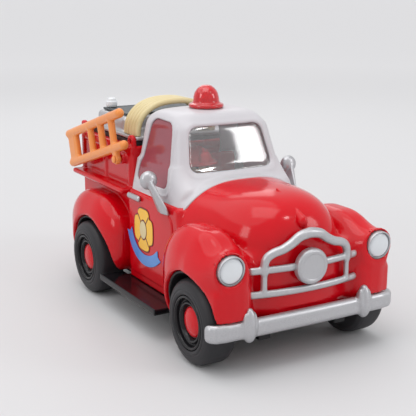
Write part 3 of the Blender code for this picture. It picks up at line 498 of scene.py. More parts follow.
def smoothLine(knots, steps):
    # A smooth line through the knots, with the same number of steps between each two
    knots = [Vector(k) for k in knots]
    line = []
    for i in range(len(knots) - 1):
        before = knots[max(i - 1, 0)]
        after = knots[min(i + 2, len(knots) - 1)]
        a, b = knots[i], knots[i + 1]
        for step in range(steps):
            t = step / steps
            line.append(0.5 * (2 * a + (b - before) * t + (2 * before - 5 * a + 4 * b - after) * t * t
                               + (3 * a - before - 3 * b + after) * t ** 3))
    line.append(knots[-1])
    return line


# Red cab body, with its fenders, doors and hood
cabBody = {
    "hoodCentre": (0, -70, 60), "hoodHalf": (55.4, 59.5, 53.3), "hoodSection": 2.7,
    "hoodLong": 3.6, "hoodTaper": 0.24,
    "fenderCentre": (56, -91.5, 52), "fenderHalf": (20.5, 44.5, 41.5), "fenderRound": 0.88,
    "hoodLap": 1.5, "crease": 0.7, "creaseWide": 0.9,
    "fillLow": (-62, -129.2, 30), "fillHigh": (62, -85, 78), "fillRound": 12, "fillBlend": 6,
    "fillBow": 4, "bowHalf": 44, "doorGap": 0.3,
    "skirtLow": (45.5, -133.6, 36), "skirtHigh": (72, -112, 60), "skirtRound": 4, "skirtBlend": 5,
    "socketStart": (56, -104, 64), "socketEnd": (60.6, -134, 74), "socketFlat": -132.8,
    "socketWide": 19.5, "socketNarrow": 12.0, "socketBlend": 6,
    "doorHalf": 54, "doorFront": -50, "doorRear": 34.5, "belt": 95.7,
    "bottom": 24, "archRadius": 35.2, "archAt": (-97.8, 30.5), "archInner": 49.9, "archLip": 1.6,
    "roomLow": (-60, -46.5, 23), "roomHigh": (50.8, 31.3, 140), "roomRound": 3,
    "noseCut": -105, "noseLow": 39.3, "noseFoot": 34.5, "bumperBack": -129.8,
    "lampHole": 10.3, "lampDeep": -129.6, "lampAt": (60.6, 74), "grain": 1.25,
}


def hoodField(p):
    # The hood narrows from the cab to the nose
    b = cabBody
    reach = b["doorFront"] - (b["hoodCentre"][1] - b["hoodHalf"][1])
    narrow = 1 - b["hoodTaper"] * np.clip((b["doorFront"] - p[:, 1]) / reach, 0, 1)
    half = np.array(b["hoodHalf"], float)
    d = (p - b["hoodCentre"]) / half
    d[:, 0] = np.abs(d[:, 0]) / narrow
    d[:, 1] = np.maximum(-d[:, 1], 0)
    d[:, 2] = np.maximum(d[:, 2], 0)
    n, m = b["hoodSection"], b["hoodLong"]
    ring = np.maximum((d[:, 0] ** n + d[:, 2] ** n) ** (1 / n), 1e-6)
    whole = np.maximum((ring ** m + d[:, 1] ** m) ** (1 / m), 1e-6)
    ringSlope = ring ** (1 - n) * np.hypot(d[:, 0] ** (n - 1) / half[0], d[:, 2] ** (n - 1) / half[2])
    slope = whole ** (1 - m) * np.hypot(ring ** (m - 1) * ringSlope, d[:, 1] ** (m - 1) / half[1])
    return (whole - 1) / np.maximum(slope, 1 / 90)


def frontFender(p, grow=0.0):
    return pebble(p, cabBody["fenderCentre"], cabBody["fenderHalf"], cabBody["fenderRound"]) - grow


def frontArch(p, radius):
    y, z = cabBody["archAt"]
    return np.hypot(p[:, 1] - y, p[:, 2] - z) - radius


def cabBodyField(p):
    b = cabBody
    p = mirror(p)
    x, y, z = p.T
    hood = meet(hoodField(p), y - b["doorFront"] - b["hoodLap"], 0.6)
    fender = frontFender(p)
    door = block(p, (-90, b["doorFront"], 0), (b["doorHalf"], b["doorRear"], b["belt"]), 4)
    seam = b["crease"] * np.exp(-((hood - fender) / b["creaseWide"]) ** 2)
    body = join(hood, fender, 2.0) + seam
    bowed = np.stack([x, y - b["fillBow"] * (x / b["bowHalf"]) ** 2, z], 1)
    fill = block(bowed, b["fillLow"], b["fillHigh"], b["fillRound"])
    body = join(body, fill, b["fillBlend"])
    skirt = block(p, b["skirtLow"], b["skirtHigh"], b["skirtRound"])
    body = join(body, skirt, b["skirtBlend"])
    socket = bar(p, b["socketStart"], b["socketEnd"], b["socketWide"], b["socketNarrow"])
    body = join(body, meet(socket, b["socketFlat"] - y, 1.0), b["socketBlend"])
    behind = meet(b["doorFront"] - b["doorGap"] - y, b["belt"] - z)
    body = carve(body, behind, 0.5)
    body = join(body, door, 2.5)
    arch = meet(frontArch(p, b["archRadius"]), b["archInner"] - x)
    body = carve(body, arch, b["archLip"])
    room = block(p, b["roomLow"], b["roomHigh"], b["roomRound"])
    body = carve(body, room, 1.0)
    lamp = np.hypot(x - b["lampAt"][0], z - b["lampAt"][1]) - b["lampHole"]
    body = carve(body, meet(lamp, y - b["lampDeep"]), 0.5)
    body = meet(body, b["bottom"] - z, 1.0)
    body = carve(body, meet(y - b["noseCut"], z - b["noseFoot"]), 0.6)
    return carve(body, meet(y - b["bumperBack"], z - b["noseLow"]), 0.4)


addWrapped("cabShell", cabBodyField, (-77.5, -138, 22.5), (77.5, 36, 115.5), cabBody["grain"],
           "red", stands=("cab_body",), halves=True)

spear = {"tip": (0, -95, 113.0), "end": (0, -125.2, 96.8), "thin": 0.9, "thick": 4.2,
         "sharp": 0.16, "sunk": 3.0, "grain": 0.6}


def spearField(p):
    # A drop shaped ridge down the middle of the hood, sunk a little into it
    drop = bar(p, spear["tip"], spear["end"], spear["thin"], spear["thick"], (1, 1, 1.2))
    drop = drop + spear["sharp"] * np.abs(p[:, 0])
    return meet(drop, -(hoodField(p) + spear["sunk"]), 0.3)


addWrapped("hoodSpear", spearField, (-5, -131.5, 88), (5, -93, 115), spear["grain"], "red",
           halves=True)

archLiner = {"gap": 0.3, "thick": 2.0, "wallIn": 49.95, "wallOut": 50.9, "underFender": 3.0,
             "grain": 1.0}


def liner(name, sign, arch, fender, radius, low, high):
    # Black plastic inside a fender, over the wheel
    outer = radius - archLiner["gap"]

    def field(p):
        q = mirror(p)
        ring = meet(arch(q, outer), -arch(q, outer - archLiner["thick"]))
        back = meet(arch(q, outer), q[:, 0] - archLiner["wallOut"])
        made = meet(join(ring, back), fender(q, -archLiner["underFender"]))
        return meet(made, meet(archLiner["wallIn"] - q[:, 0], cabBody["bottom"] - q[:, 2]))

    ends = sorted((sign * 49, sign * 77))
    addWrapped(name, field, (ends[0], low, 22), (ends[1], high, 70), archLiner["grain"], "liner")


for side, sign in bothSides:
    liner(f"frontLiner_{side}", sign, frontArch, frontFender, cabBody["archRadius"], -136, -62)

doorSkin = {"low": (-41.5, 29.5), "high": (31.5, 94.5), "proud": 0.8, "corner": 7,
            "slopeDown": 9, "slopeBack": 16, "inner": 53}


def doorSkinField(p):
    y, z = p[:, 1], p[:, 2]
    (front, low), (rear, high) = doorSkin["low"], doorSkin["high"]
    sheet = outline(y, z, [(front, low), (front, high - doorSkin["slopeDown"]),
                           (front + doorSkin["slopeBack"], high), (rear, high), (rear, low)],
                    doorSkin["corner"])
    x = np.abs(p[:, 0])
    skin = meet(sheet, x - cabBody["doorHalf"] - doorSkin["proud"], 1.2)
    return meet(skin, doorSkin["inner"] - x)


for side, sign in bothSides:
    ends = sorted((sign * 52, sign * 56))
    addWrapped(f"doorSkin_{side}", doorSkinField, (ends[0], -44, 27), (ends[1], 34, 97), 0.9, "red")
print("cab body ready")


# Bed, with its fenders, rails and lugs
bedBody = {
    "half": 49, "front": 35, "rear": 136.5, "top": 127, "bottom": 24,
    "railHalf": 59.5, "railLow": 90.3, "railTop": 94.6,
    "fenderCentre": (54, 81.8, 48), "fenderHalf": (19.5, 47.4, 35.4), "fenderRound": 0.84,
    "archRadius": 35, "archInner": 49.9, "archLip": 2.4, "axleHigh": 30,
    "posts": (40.5, 86.5, 132.5), "postHalf": 3.2, "postProud": 1.4,
    "rimLow": 120.5, "rimProud": 1.2, "tailPanel": (41, 34, 112),
    "hopperLow": (-60, 41.3, 61), "hopperHigh": (43.2, 126.3, 160),
    # Ears at the top corners: y, z, radius and hole
    "ears": ((40, 131, 5, 2), (135.8, 131.1, 4.5, 1.8)), "earX": 46.9, "earHalf": 1.8,
    "bracket": (-50.4, 43.6, 117), "bracketRadius": 4.0, "bracketHalf": 4.9, "grain": 1.25,
}


def rearFender(p, grow=0.0):
    return pebble(p, bedBody["fenderCentre"], bedBody["fenderHalf"], bedBody["fenderRound"]) - grow


def rearArch(p, radius):
    return np.hypot(p[:, 1] - rearAxleY, p[:, 2] - bedBody["axleHigh"]) - radius


def bedBodyField(p):
    b = bedBody
    p = mirror(p)
    x, y, z = p.T
    body = block(p, (-90, b["front"], 0), (b["half"], b["rear"], b["top"]), 2)
    rim = block(p, (-90, b["front"], b["rimLow"]), (b["half"] + b["rimProud"], b["rear"],
                                                    b["top"]), 1.2)
    body = join(body, rim, 1.2)
    for at in b["posts"]:
        post = block(p, (40, at - b["postHalf"], 92),
                     (b["half"] + b["postProud"], at + b["postHalf"], 123), 1.3)
        body = join(body, post, 1.0)
    wide, low, high = b["tailPanel"]
    tail = outline(x, z, [(-wide, low), (-wide, high), (wide, high), (wide, low)], 8)
    body = carve(body, meet(tail, b["rear"] - 1.0 - y), 0.8)
    rail = block(p, (40, b["front"], b["railLow"]), (b["railHalf"], b["rear"], b["railTop"]), 1.9)
    body = join(body, rail, 1.5)
    fender = rearFender(p)
    body = join(body, fender, 2.0) + 0.6 * np.exp(-((body - fender) / 0.9) ** 2)
    arch = meet(rearArch(p, b["archRadius"]), b["archInner"] - x)
    body = carve(body, arch, b["archLip"])
    body = carve(body, block(p, b["hopperLow"], b["hopperHigh"], 1.0), 0.6)
    for at, high, radius, hole in b["ears"]:
        ear = drum(p, (b["earX"], at, high), 0, radius, b["earHalf"], 0.9)
        foot = block(p, (b["earX"] - b["earHalf"], at - radius, 120),
                     (b["earX"] + b["earHalf"], at + radius, high), 0.9)
        body = join(body, join(ear, foot, 0.4), 0.8)
        body = carve(body, np.hypot(y - at, z - high) - hole, 0.7)
    return meet(body, b["bottom"] - z, 1.0)


def bedWithBracket(p):
    # The ladder's bracket is on one side only
    bracket = drum(p, bedBody["bracket"], 0, bedBody["bracketRadius"], bedBody["bracketHalf"], 0.6)
    return join(bedBodyField(p), bracket, 1.0)


addWrapped("bedShell", bedWithBracket, (-74.5, 34, 22.5), (74.5, 138, 137), bedBody["grain"],
           "red", stands=("bed_body",))
for side, sign in bothSides:
    liner(f"rearLiner_{side}", sign, rearArch, rearFender, bedBody["archRadius"], 40, 114)
print("bed ready")


# White cab top and its panes
cabTop = {
    "halfLow": 50, "halfHigh": 39, "low": 96, "high": 152, "roof": 159.0, "edge": 11,
    # Each plane has a spot on it and the way it faces
    "screen": ((0, -38, 115), (0, -37, 13)), "screenBow": 0.0012,
    "tail": ((0, 34.5, 96), (0, 56, 1.5)),
    "cowl": ((0, -50, 108.5), (0, -8, 12)), "cowlBow": 0.0016, "cowlFront": -50.2, "cowlTop": 118,
    "roofMiddle": 5, "roofReach": (39, 27), "roofDrop": (1.9, 1.6),
    "wall": 2.6, "grain": 1.0,
    "sideWindow": [(-24, 104), (-14, 151), (19, 152), (28, 103)],
    "frontWindow": [(-36, 117), (-31, 149), (31, 149), (36, 117)],
    "backWindow": [(-31, 112), (-27, 146), (27, 146), (31, 112)],
    "windowCorner": 8, "gutterAt": 4.6, "gutterWide": 0.75, "gutterHigh": 0.9,
    "frameAt": 2.2, "frameWide": 1.2, "frameHigh": 0.5,
    "skirt": 3.4, "collarOut": 1.0, "collarIn": 3.0, "collarRear": -40, "collarFront": -53.6,
    "collarLow": 84, "collarTop": 113, "collarBow": 0.011,
}


def slanted(p, spot, normal):
    normal = np.array(normal, float)
    return (p - spot) @ (normal / np.sqrt((normal ** 2).sum()))


def cabOuter(p):
    t = cabTop
    rise = t["high"] - t["low"]
    lean = t["halfLow"] - t["halfHigh"]
    flank = slanted(p, (t["halfLow"], 0, t["low"]), (rise, 0, lean))
    screen = slanted(p, *t["screen"]) + t["screenBow"] * p[:, 0] ** 2
    tail = slanted(p, *t["tail"])
    (reachX, reachY), (dropX, dropY) = t["roofReach"], t["roofDrop"]
    roof = p[:, 2] - t["roof"] + dropX * (p[:, 0] / reachX) ** 2
    roof = roof + dropY * ((p[:, 1] - t["roofMiddle"]) / reachY) ** 2
    upper = meet(meet(screen, flank, t["edge"]), tail, t["edge"] - 3)
    upper = meet(upper, roof, t["edge"])
    cowl = meet(slanted(p, *t["cowl"]), t["cowlFront"] - p[:, 1], 3)
    cowl = cowl + t["cowlBow"] * p[:, 0] ** 2
    lower = meet(meet(cowl, flank, 8), tail, 8)
    lower = meet(lower, p[:, 2] - t["cowlTop"])
    return join(upper, lower, 6)


def sideHole(p):
    return outline(p[:, 1], p[:, 2], cabTop["sideWindow"], cabTop["windowCorner"])


def frontHole(p):
    return outline(p[:, 0], p[:, 2], cabTop["frontWindow"], cabTop["windowCorner"])


def backHole(p):
    return outline(p[:, 0], p[:, 2], cabTop["backWindow"], cabTop["windowCorner"])


def cabHoles(p):
    side = meet(sideHole(p), 30 - np.abs(p[:, 0]))
    front = meet(frontHole(p), p[:, 1] + 9)
    back = meet(backHole(p), 12 - p[:, 1])
    return join(join(side, front), back)


def cabTopField(p):
    t = cabTop
    p = mirror(p)
    x, y, z = p.T
    outer = cabOuter(p)
    gutter = np.exp(-((sideHole(p) - t["gutterAt"]) / t["gutterWide"]) ** 2)
    gutter *= np.clip((x - 37) / 3, 0, 1) * np.clip((20 - y) / 8, 0, 1)
    rim = np.exp(-((frontHole(p) - t["frameAt"]) / t["frameWide"]) ** 2) * np.clip(-y / 12, 0, 1)
    outer = outer - t["gutterHigh"] * gutter - t["frameHigh"] * rim
    shell = meet(outer, -(cabOuter(p) + t["wall"]))
    shell = carve(shell, cabHoles(p), 1.0)
    shell = meet(shell, t["low"] - t["skirt"] - z, 0.8)
    # The cowl's edge laps over the back of the hood
    hood = hoodField(p)
    collar = meet(hood - t["collarOut"], -(hood + t["collarIn"]), 0.8)
    edge = t["collarFront"] - y + t["collarBow"] * (t["collarTop"] - z) ** 2
    collar = meet(meet(collar, y - t["collarRear"]), edge, 0.8)
    collar = meet(collar, t["collarLow"] - z, 0.8)
    return join(shell, collar, 2.0)


addWrapped("cabRoof", cabTopField, (-55, -57, 82.5), (55, 36.5, 161), cabTop["grain"], "white",
           stands=("cab_top",), halves=True)

pane = {"front": 1.1, "back": 2.1, "overlap": 0.9, "rings": 9, "steps": 72, "sideX": 44, "endY": 33}


def addPane(name, hole, spot, normal, middlePoint, finish, node):
    # A thin even sheet set in the wall, made of rings from the middle out to the hole's edge
    rings, steps = pane["rings"], pane["steps"]
    u0, v0 = middlePoint
    reach = []
    for i in range(steps):
        c, k = math.cos(2 * math.pi * i / steps), math.sin(2 * math.pi * i / steps)
        near, far = 0.0, 60.0
        for _ in range(24):
            half = (near + far) / 2
            here = spot(np.array([u0 + half * c]), np.array([v0 + half * k]))
            near, far = (half, far) if hole(here)[0] < pane["overlap"] else (near, half)
        reach.append((near * c, near * k))
    reach = np.array(reach)
    points = []
    for depth in (pane["front"], pane["back"]):
        for ring in range(rings + 1):
            uv = reach * ring / rings if ring else np.zeros((1, 2))
            p = spot(u0 + uv[:, 0], v0 + uv[:, 1])
            way = np.array(normal, float)
            for _ in range(12):
                gap = cabOuter(mirror(p)) + depth
                slope = (cabOuter(mirror(p + way * 0.05)) + depth - gap) / 0.05
                p = p - way * np.clip(gap / np.maximum(slope, 0.2), -6, 6)[:, None]
            points += p.tolist()
    side = 1 + rings * steps
    faces = []
    for back in (0, 1):
        start = back * side
        for i in range(steps):
            j = (i + 1) % steps
            loop = [[start, start + 1 + i, start + 1 + j]]
            for ring in range(rings - 1):
                a, b = start + 1 + ring * steps, start + 1 + (ring + 1) * steps
                loop.append([a + i, b + i, b + j, a + j])
            faces += [face[::-1] if back else face for face in loop]
    rim = 1 + (rings - 1) * steps
    for i in range(steps):
        j = (i + 1) % steps
        faces.append([rim + j, rim + i, side + rim + i, side + rim + j])
    first = [np.array(points[k]) for k in faces[0]]
    if np.cross(first[1] - first[0], first[2] - first[0]) @ np.array(normal) < 0:
        faces = [face[::-1] for face in faces]
    makePiece(name, points, faces, finish, stands=(node,))


def onSide(sign):
    return lambda u, v: np.stack([sign * (pane["sideX"] + 0 * u), u, v], 1)


def across(y):
    return lambda u, v: np.stack([u, y + 0 * u, v], 1)


for side, sign in bothSides:
    addPane(f"sidePane_{side}", sideHole, onSide(sign), (sign, 0, 0), (3, 128), "tinted",
            f"side_window_{side}")
addPane("screenPane", frontHole, across(-pane["endY"]), (0, -1, 0), (0, 133), "clear", "windshield")
addPane("backPane", backHole, across(pane["endY"]), (0, 1, 0), (0, 129), "clear", "rear_window")
print("cab ready")


# Bumpers, grille and lamps
frontBumper = {
    # The bar's line from the middle round to the end: x, y and half its depth
    "line": [(0, -133.7, 3.6), (24, -133.6, 3.6), (48, -133.3, 3.5), (64, -133.1, 3.4),
             (71.0, -132.3, 3.0), (73.7, -130.1, 2.7), (74.7, -128.2, 2.3)],
    "low": 25.6, "high": 38.8, "round": 4.2,
    "guard": (47.5, -135.2, 35.2), "guardHalf": (5.9, 5.3, 12.0), "guardBack": -130.8,
    "grooveAt": 2.7, "grooveWide": 0.8, "grooveDeep": 0.8,
}


def frontBumperField(p):
    b = frontBumper
    p = mirror(p)
    x, y, z = p.T
    flat = np.stack([x, y, 0 * z], 1)
    strip = None
    for here, there in zip(b["line"], b["line"][1:]):
        link = bar(flat, (here[0], here[1], 0), (there[0], there[1], 0), here[2], there[2])
        strip = link if strip is None else join(strip, link)
    deep = strip + b["round"]
    tall = np.abs(z - (b["low"] + b["high"]) / 2) - (b["high"] - b["low"]) / 2 + b["round"]
    bumper = (np.hypot(np.maximum(deep, 0), np.maximum(tall, 0))
              + np.minimum(np.maximum(deep, tall), 0) - b["round"])
    guard = pebble(p, b["guard"], b["guardHalf"], 1.0)
    off = np.abs(x - b["guard"][0]) - b["grooveAt"]
    groove = np.exp(-(off / b["grooveWide"]) ** 2) * np.clip((z - 30) / 6, 0, 1)
    guard = meet(guard + b["grooveDeep"] * groove, y - b["guardBack"], 1)
    return join(bumper, guard, 1.0)


addWrapped("frontBumper", frontBumperField, (-79, -141, 23), (79, -122, 48), 0.95, "silver",
           stands=("front_bumper",), halves=True)

rearBumper = {"half": 54, "front": 136.9, "rear": 140.3, "low": 26, "high": 38,
              "grooveWide": 0.9, "grooveDeep": 0.7, "grooveEnd": 5}


def rearBumperField(p):
    b = rearBumper
    p = mirror(p)
    slab = block(p, (-90, b["front"], b["low"]), (b["half"], b["rear"], b["high"]), 1.6)
    off = p[:, 2] - (b["low"] + b["high"]) / 2
    groove = np.exp(-(off / b["grooveWide"]) ** 2) * (p[:, 1] > 138)
    return slab + b["grooveDeep"] * groove * (p[:, 0] < b["half"] - b["grooveEnd"])


addWrapped("rearBumper", rearBumperField, (-65, 136, 25), (65, 141, 39), 0.8, "silver",
           stands=("rear_bumper",), halves=True)

grille = {
    "y": -134.6, "bow": 5.6, "bowHalf": 44, "topZ": 69.5, "topHalf": 45, "lowZ": 53, "lowHalf": 45.4,
    "barTall": 2.5, "barDeep": 2.0, "barEnd": 3, "postX": 34, "postThick": 2.0, "archProud": 0.2,
    "arch": [(34, 68, 2.3), (34, 73, 2.6), (32.2, 77.8, 2.8), (27.5, 80.8, 2.9), (21, 82.6, 3.0),
             (14.5, 85.8, 3.1), (8, 90, 3.3), (0, 91.6, 3.5)],
}


def grilleY(x):
    return grille["y"] + grille["bow"] * (x / grille["bowHalf"]) ** 2


def grilleField(p):
    g = grille
    p = mirror(p)
    x, y, z = p.T
    line = grilleY(x)
    trim = None
    for high, half in ((g["topZ"], g["topHalf"]), (g["lowZ"], g["lowHalf"])):
        over = np.maximum(x - half + g["barEnd"], 0) / 1.2
        ring = np.sqrt(((y - line) / g["barDeep"]) ** 2 + ((z - high) / g["barTall"]) ** 2
                       + (over / g["barDeep"]) ** 2)
        piece = (ring - 1) * g["barDeep"]
        trim = piece if trim is None else join(trim, piece)
    post = np.sqrt((x - g["postX"]) ** 2 + (y - line) ** 2) - g["postThick"]
    post = meet(post, meet(z - g["topZ"], g["lowZ"] - z))
    trim = join(trim, post, 1.2)
    knots = smoothLine([(kx, kz, kr) for kx, kz, kr in g["arch"]], 4)
    hoop = None
    for here, there in zip(knots, knots[1:]):
        start = (here.x, grilleY(here.x) - g["archProud"], here.y)
        end = (there.x, grilleY(there.x) - g["archProud"], there.y)
        link = bar(p, start, end, here.z, there.z)
        hoop = link if hoop is None else join(hoop, link, 0.5)
    return join(trim, hoop, 1.5)


addWrapped("grilleFrame", grilleField, (-47.5, -139, 49), (47.5, -127, 97), 0.8, "silver",
           stands=("grille_frame",), halves=True)
emblem = [(0, 3.6), (8.6, 3.45), (9.3, 3.9), (10.8, 3.9), (12.4, 2.4), (12.4, -1.8), (11.6, -2.6),
          (0, -2.6)]
addTurned("grilleEmblem", emblem, (0, -136.3, 69), (0, -1, 0), "silver", stands=("grille_emblem",),
          round=0.9)

headlight = {"at": (60.6, -134, 74), "radius": 10, "brow": 0.11}


def addHeadlight(side, sign):
    h = headlight
    r = h["radius"]
    x, y, z = h["at"]
    ring = [(0, -4.0), (r - 1.2, -4.0), (r - 1.2, 0.4), (r - 0.9, 0.8), (r - 0.4, 0.8), (r, 0.2),
            (r, -3.8), (r - 0.5, -4.4), (0, -4.4)]
    points, faces = spin(easedProfile(ring, 0.5), (sign * x, y, z), (0, -1, 0), 96)
    # The top of the ring stands further out, as a small brow
    shaped = [(px, py - h["brow"] * (pz - z) * (py < y - 0.3), pz) for px, py, pz in points]
    makePiece(f"headlightRing_{side}", shaped, faces, "silver",
              stands=(f"headlight_bezel_{side}",))
    glass = [(0, 1.5), (r * 0.45, 1.25), (r * 0.72, 0.7), (r - 1.3, -0.2), (r - 1.3, -3.4), (0, -3.4)]
    addTurned(f"headlightGlass_{side}", glass, (sign * x, y, z), (0, -1, 0), "lens",
              stands=(f"headlight_lens_{side}",), round=1.2)


for side, sign in bothSides:
    addHeadlight(side, sign)
    tail = [(0, 3.3), (3.4, 2.9), (4.6, 1.6), (4.8, 0.9), (6.0, 0.9), (6.0, 0), (0, 0)]
    addTurned(f"tailLamp_{side}", tail, (sign * 38, 136.8, 62), (0, 1, 0), "beacon",
              stands=(f"tail_lamp_{side}",))
print("bumpers, grille and lamps ready")


# Mirrors, handles and running boards
mirrorSize = {
    "ball": (62, -19, 112), "half": (6.8, 4.9, 7.0), "flatBack": -16.4,
    "dish": (62, -13.2, 112), "dishHalf": (5.4, 4.4, 5.6), "inner": 54.4,
    "blade": [(-24.0, 112.5), (-17.6, 112.5), (-22.4, 88.4), (-38.6, 88.8), (-38.2, 94.4)],
    "topX": 62.4, "footX": 55.8, "topZ": 112, "footZ": 89, "thick": 2.2,
    "ridge": 0.17, "ridgeTopY": -20.3, "ridgeRun": 10.2,
}


def mirrorField(p):
    m = mirrorSize
    p = mirror(p)
    x, y, z = p.T
    ball = pebble(p, m["ball"], m["half"], 1.0)
    ball = meet(ball, y - m["flatBack"], 0.8)
    dish = pebble(p, m["dish"], m["dishHalf"], 1.0)
    ball = carve(ball, dish, 0.5)
    share = (m["topZ"] - z) / (m["topZ"] - m["footZ"])
    line = m["topX"] + (m["footX"] - m["topX"]) * share
    blade = outline(y, z, m["blade"], 1.0)
    ridge = np.abs(y - m["ridgeTopY"] + m["ridgeRun"] * share)
    blade = meet(blade, np.abs(x - line) - m["thick"] + m["ridge"] * ridge, 0.8)
    return join(ball, meet(blade, m["inner"] - x), 1.2)


handle = {"x": 56.4, "z": 91.3, "front": 10.6, "rear": 26.6, "radius": 2.35, "inner": 54.4,
          "feet": (12.5, 24.5), "footRadius": 1.5}


def handleField(p):
    h = handle
    p = mirror(p)
    made = bar(p, (h["x"], h["front"], h["z"]), (h["x"], h["rear"], h["z"]), h["radius"],
               squash=(0.72, 1, 1))
    feet = None
    for y in h["feet"]:
        foot = bar(p, (h["inner"], y, h["z"]), (56, y, h["z"]), h["footRadius"])
        feet = foot if feet is None else join(feet, foot)
    return join(made, meet(feet, h["inner"] - p[:, 0]), 0.8)


for side, sign in bothSides:
    ends = sorted((sign * 53.5, sign * 69.5))
    addWrapped(f"sideMirror_{side}", mirrorField, (ends[0], -39, 87), (ends[1], -13, 120), 0.65,
               "silver", stands=(f"mirror_{side}",))
    ends = sorted((sign * 53.5, sign * 59.5))
    addWrapped(f"doorHandle_{side}", handleField, (ends[0], 7, 88), (ends[1], 30, 95), 0.6,
               "silver", stands=(f"door_handle_{side}",))

board = {"inner": 54.5, "outer": 75.4, "front": -52.4, "rear": 44.6, "low": 19.8, "top": 24.2,
         "lip": 0.7, "lipWide": 1.3}


def boardField(p):
    p = mirror(p)
    x, y, z = p.T
    top = block(p, (board["inner"], board["front"], board["low"]),
                (board["outer"], board["rear"], board["top"]), 1.0)
    edge = block(p, (board["outer"] - board["lipWide"], board["front"], board["low"]),
                 (board["outer"], board["rear"], board["top"] + board["lip"]), 0.6)
    return join(top, edge, 0.5)


for side, sign in bothSides:
    ends = sorted((sign * 53.5, sign * 76.5))
    addWrapped(f"runningBoard_{side}", boardField, (ends[0], -54, 18.8), (ends[1], 46, 27), 0.8,
               "black")
print("side fittings ready")


wheel = {
    "track": 63, "axleHigh": 30,
    # Each line is radius and distance out from the wheel's middle
    "tyre": [(19.4, 11.2), (20.6, 12.0), (21.8, 11.9), (22.6, 11.3), (23.4, 11.6), (26.4, 10.8),
             (28.6, 9.2), (29.7, 7.4), (30.0, 5.2), (30.0, -6.4), (29.4, -9.0), (27.4, -11.2),
             (24.0, -12.0), (19.4, -12.0), (19.4, 11.2)],
    "disc": [(19.2, -9.5), (19.2, 10.2), (18.6, 11.4), (17.4, 11.7), (16.6, 10.6), (16.2, 8.4),
             (15.4, 7.6), (14.6, 8.6), (13.8, 9.7), (12.8, 9.7), (12.0, 8.4), (11.2, 6.2), (0, 5.9),
             (0, 2.2), (16.6, 2.2), (16.6, -9.5), (19.2, -9.5)],
    "cap": [(0, 10.1), (4.0, 9.8), (7.6, 9.0), (9.9, 7.9), (10.7, 6.8), (10.8, 5.9), (0, 5.9)],
}


def addWheel(end, side, sign, y):
    place, out = (sign * wheel["track"], y, wheel["axleHigh"]), (sign, 0, 0)
    body = f"{end}_wheels"
    addTurned(f"tyre_{end}_{side}_skin", wheel["tyre"], place, out, "rubber", body,
              (f"tyre_{end}_{side}",), 0.7, 96)
    addTurned(f"rim_{end}_{side}", wheel["disc"], place, out, "black", body,
              (f"wheel_disc_{end}_{side}",), 0.6, 96)
    addTurned(f"cap_{end}_{side}", wheel["cap"], place, out, "red", body,
              (f"hub_cap_{end}_{side}",), 0.9, 72)


for end, y in (("front", frontAxleY), ("rear", rearAxleY)):
    for side, sign in bothSides:
        addWheel(end, side, sign, y)
print("wheels ready")


beacon = {
    "foot": (0, 4, 159.3),
    "lens": [(0, 17.2), (3.4, 16.7), (6.6, 14.6), (8.9, 11.4), (9.9, 8.0), (10.3, 4.6), (11.0, 3.4),
             (13.3, 2.6), (13.8, 1.4), (13.4, 0.0), (8.4, 0.0), (8.0, 8.0), (6.8, 11.4), (5.0, 13.6),
             (0, 15.2)],
    "lamp": [(0, 11.2), (2.2, 10.2), (3.0, 7.0), (3.4, 3.6), (6.6, 1.8), (7.0, 0.1), (0, 0.1)],
}
addTurned("beaconLens", beacon["lens"], beacon["foot"], (0, 0, 1), "beacon",
          stands=("beacon_lens",), round=1.3, steps=96)
addTurned("beaconLamp", beacon["lamp"], beacon["foot"], (0, 0, 1), "silver",
          stands=("beacon_reflector",), round=0.8)
print("beacon ready")


ladderSize = {
    "pitch": -16.5, "pivot": (-58.5, 43.6, 117), "front": -19, "length": 114, "base": 9,
    "wide": 25, "rail": 3.8, "rung": 3.1, "rungs": (1, 23, 45), "plate": 19, "plateHalf": 2.2,
    "tabRadius": 4.0, "tabHalf": 2.0, "hole": 1.7,
}


def ladderField(p):
    s = ladderSize
    turn = math.radians(s["pitch"])
    x = p[:, 0] - s["pivot"][0]
    dy, dz = p[:, 1] - s["pivot"][1], p[:, 2] - s["pivot"][2]
    q = np.stack([x, dy * math.cos(turn) + dz * math.sin(turn),
                  dz * math.cos(turn) - dy * math.sin(turn)], 1)
    end = s["front"] + s["length"]
    low, high = s["base"], s["base"] + s["wide"]
    made = None
    for at in (low, high):
        rail = bar(q, (0, s["front"] + 2, at), (0, end - 2, at), s["rail"], squash=(0.94, 1, 1))
        made = rail if made is None else join(made, rail)
    for at in s["rungs"]:
        made = join(made, bar(q, (0, at, low), (0, at, high), s["rung"], squash=(0.9, 1, 1)), 1.6)
    plate = block(q, (-s["plateHalf"], end - s["plate"], low),
                  (s["plateHalf"], end - 1.6, high), 1.3)
    plate = plate + 0.6 * np.exp(-((q[:, 1] - end + s["plate"] - 3) / 0.8) ** 2)
    made = join(made, plate, 1.6)
    tab = join(drum(q, (0, 0, 0), 0, s["tabRadius"], s["tabHalf"], 0.9),
               block(q, (-s["tabHalf"], -3.6, 0), (s["tabHalf"], 3.6, low), 0.9))
    made = join(made, tab, 1.2)
    return carve(made, np.hypot(q[:, 1], q[:, 2]) - s["hole"], 0.6)


addWrapped("ladderFrame", ladderField, (-62.5, 20, 84), (-54.5, 152, 160), 0.8, "orange", "ladder",
           ("ladder",))
pin = [(0, 0.0), (2.2, 0.1), (2.9, 0.8), (2.9, 1.6), (1.5, 1.6), (1.5, 11.0), (0, 11.0)]
addTurned("ladderPin", pin, (-62.3, 43.6, 117), (1, 0, 0), "orange", stands=("ladder_pivot_pin",),
          round=0.4, steps=48)

hose = {"foot": 134.3, "firstY": 41.4, "pitch": 5.0, "count": 5, "radius": 2.46, "middleX": -7,
        "half": 34, "rise": 26.0, "power": 2.35}


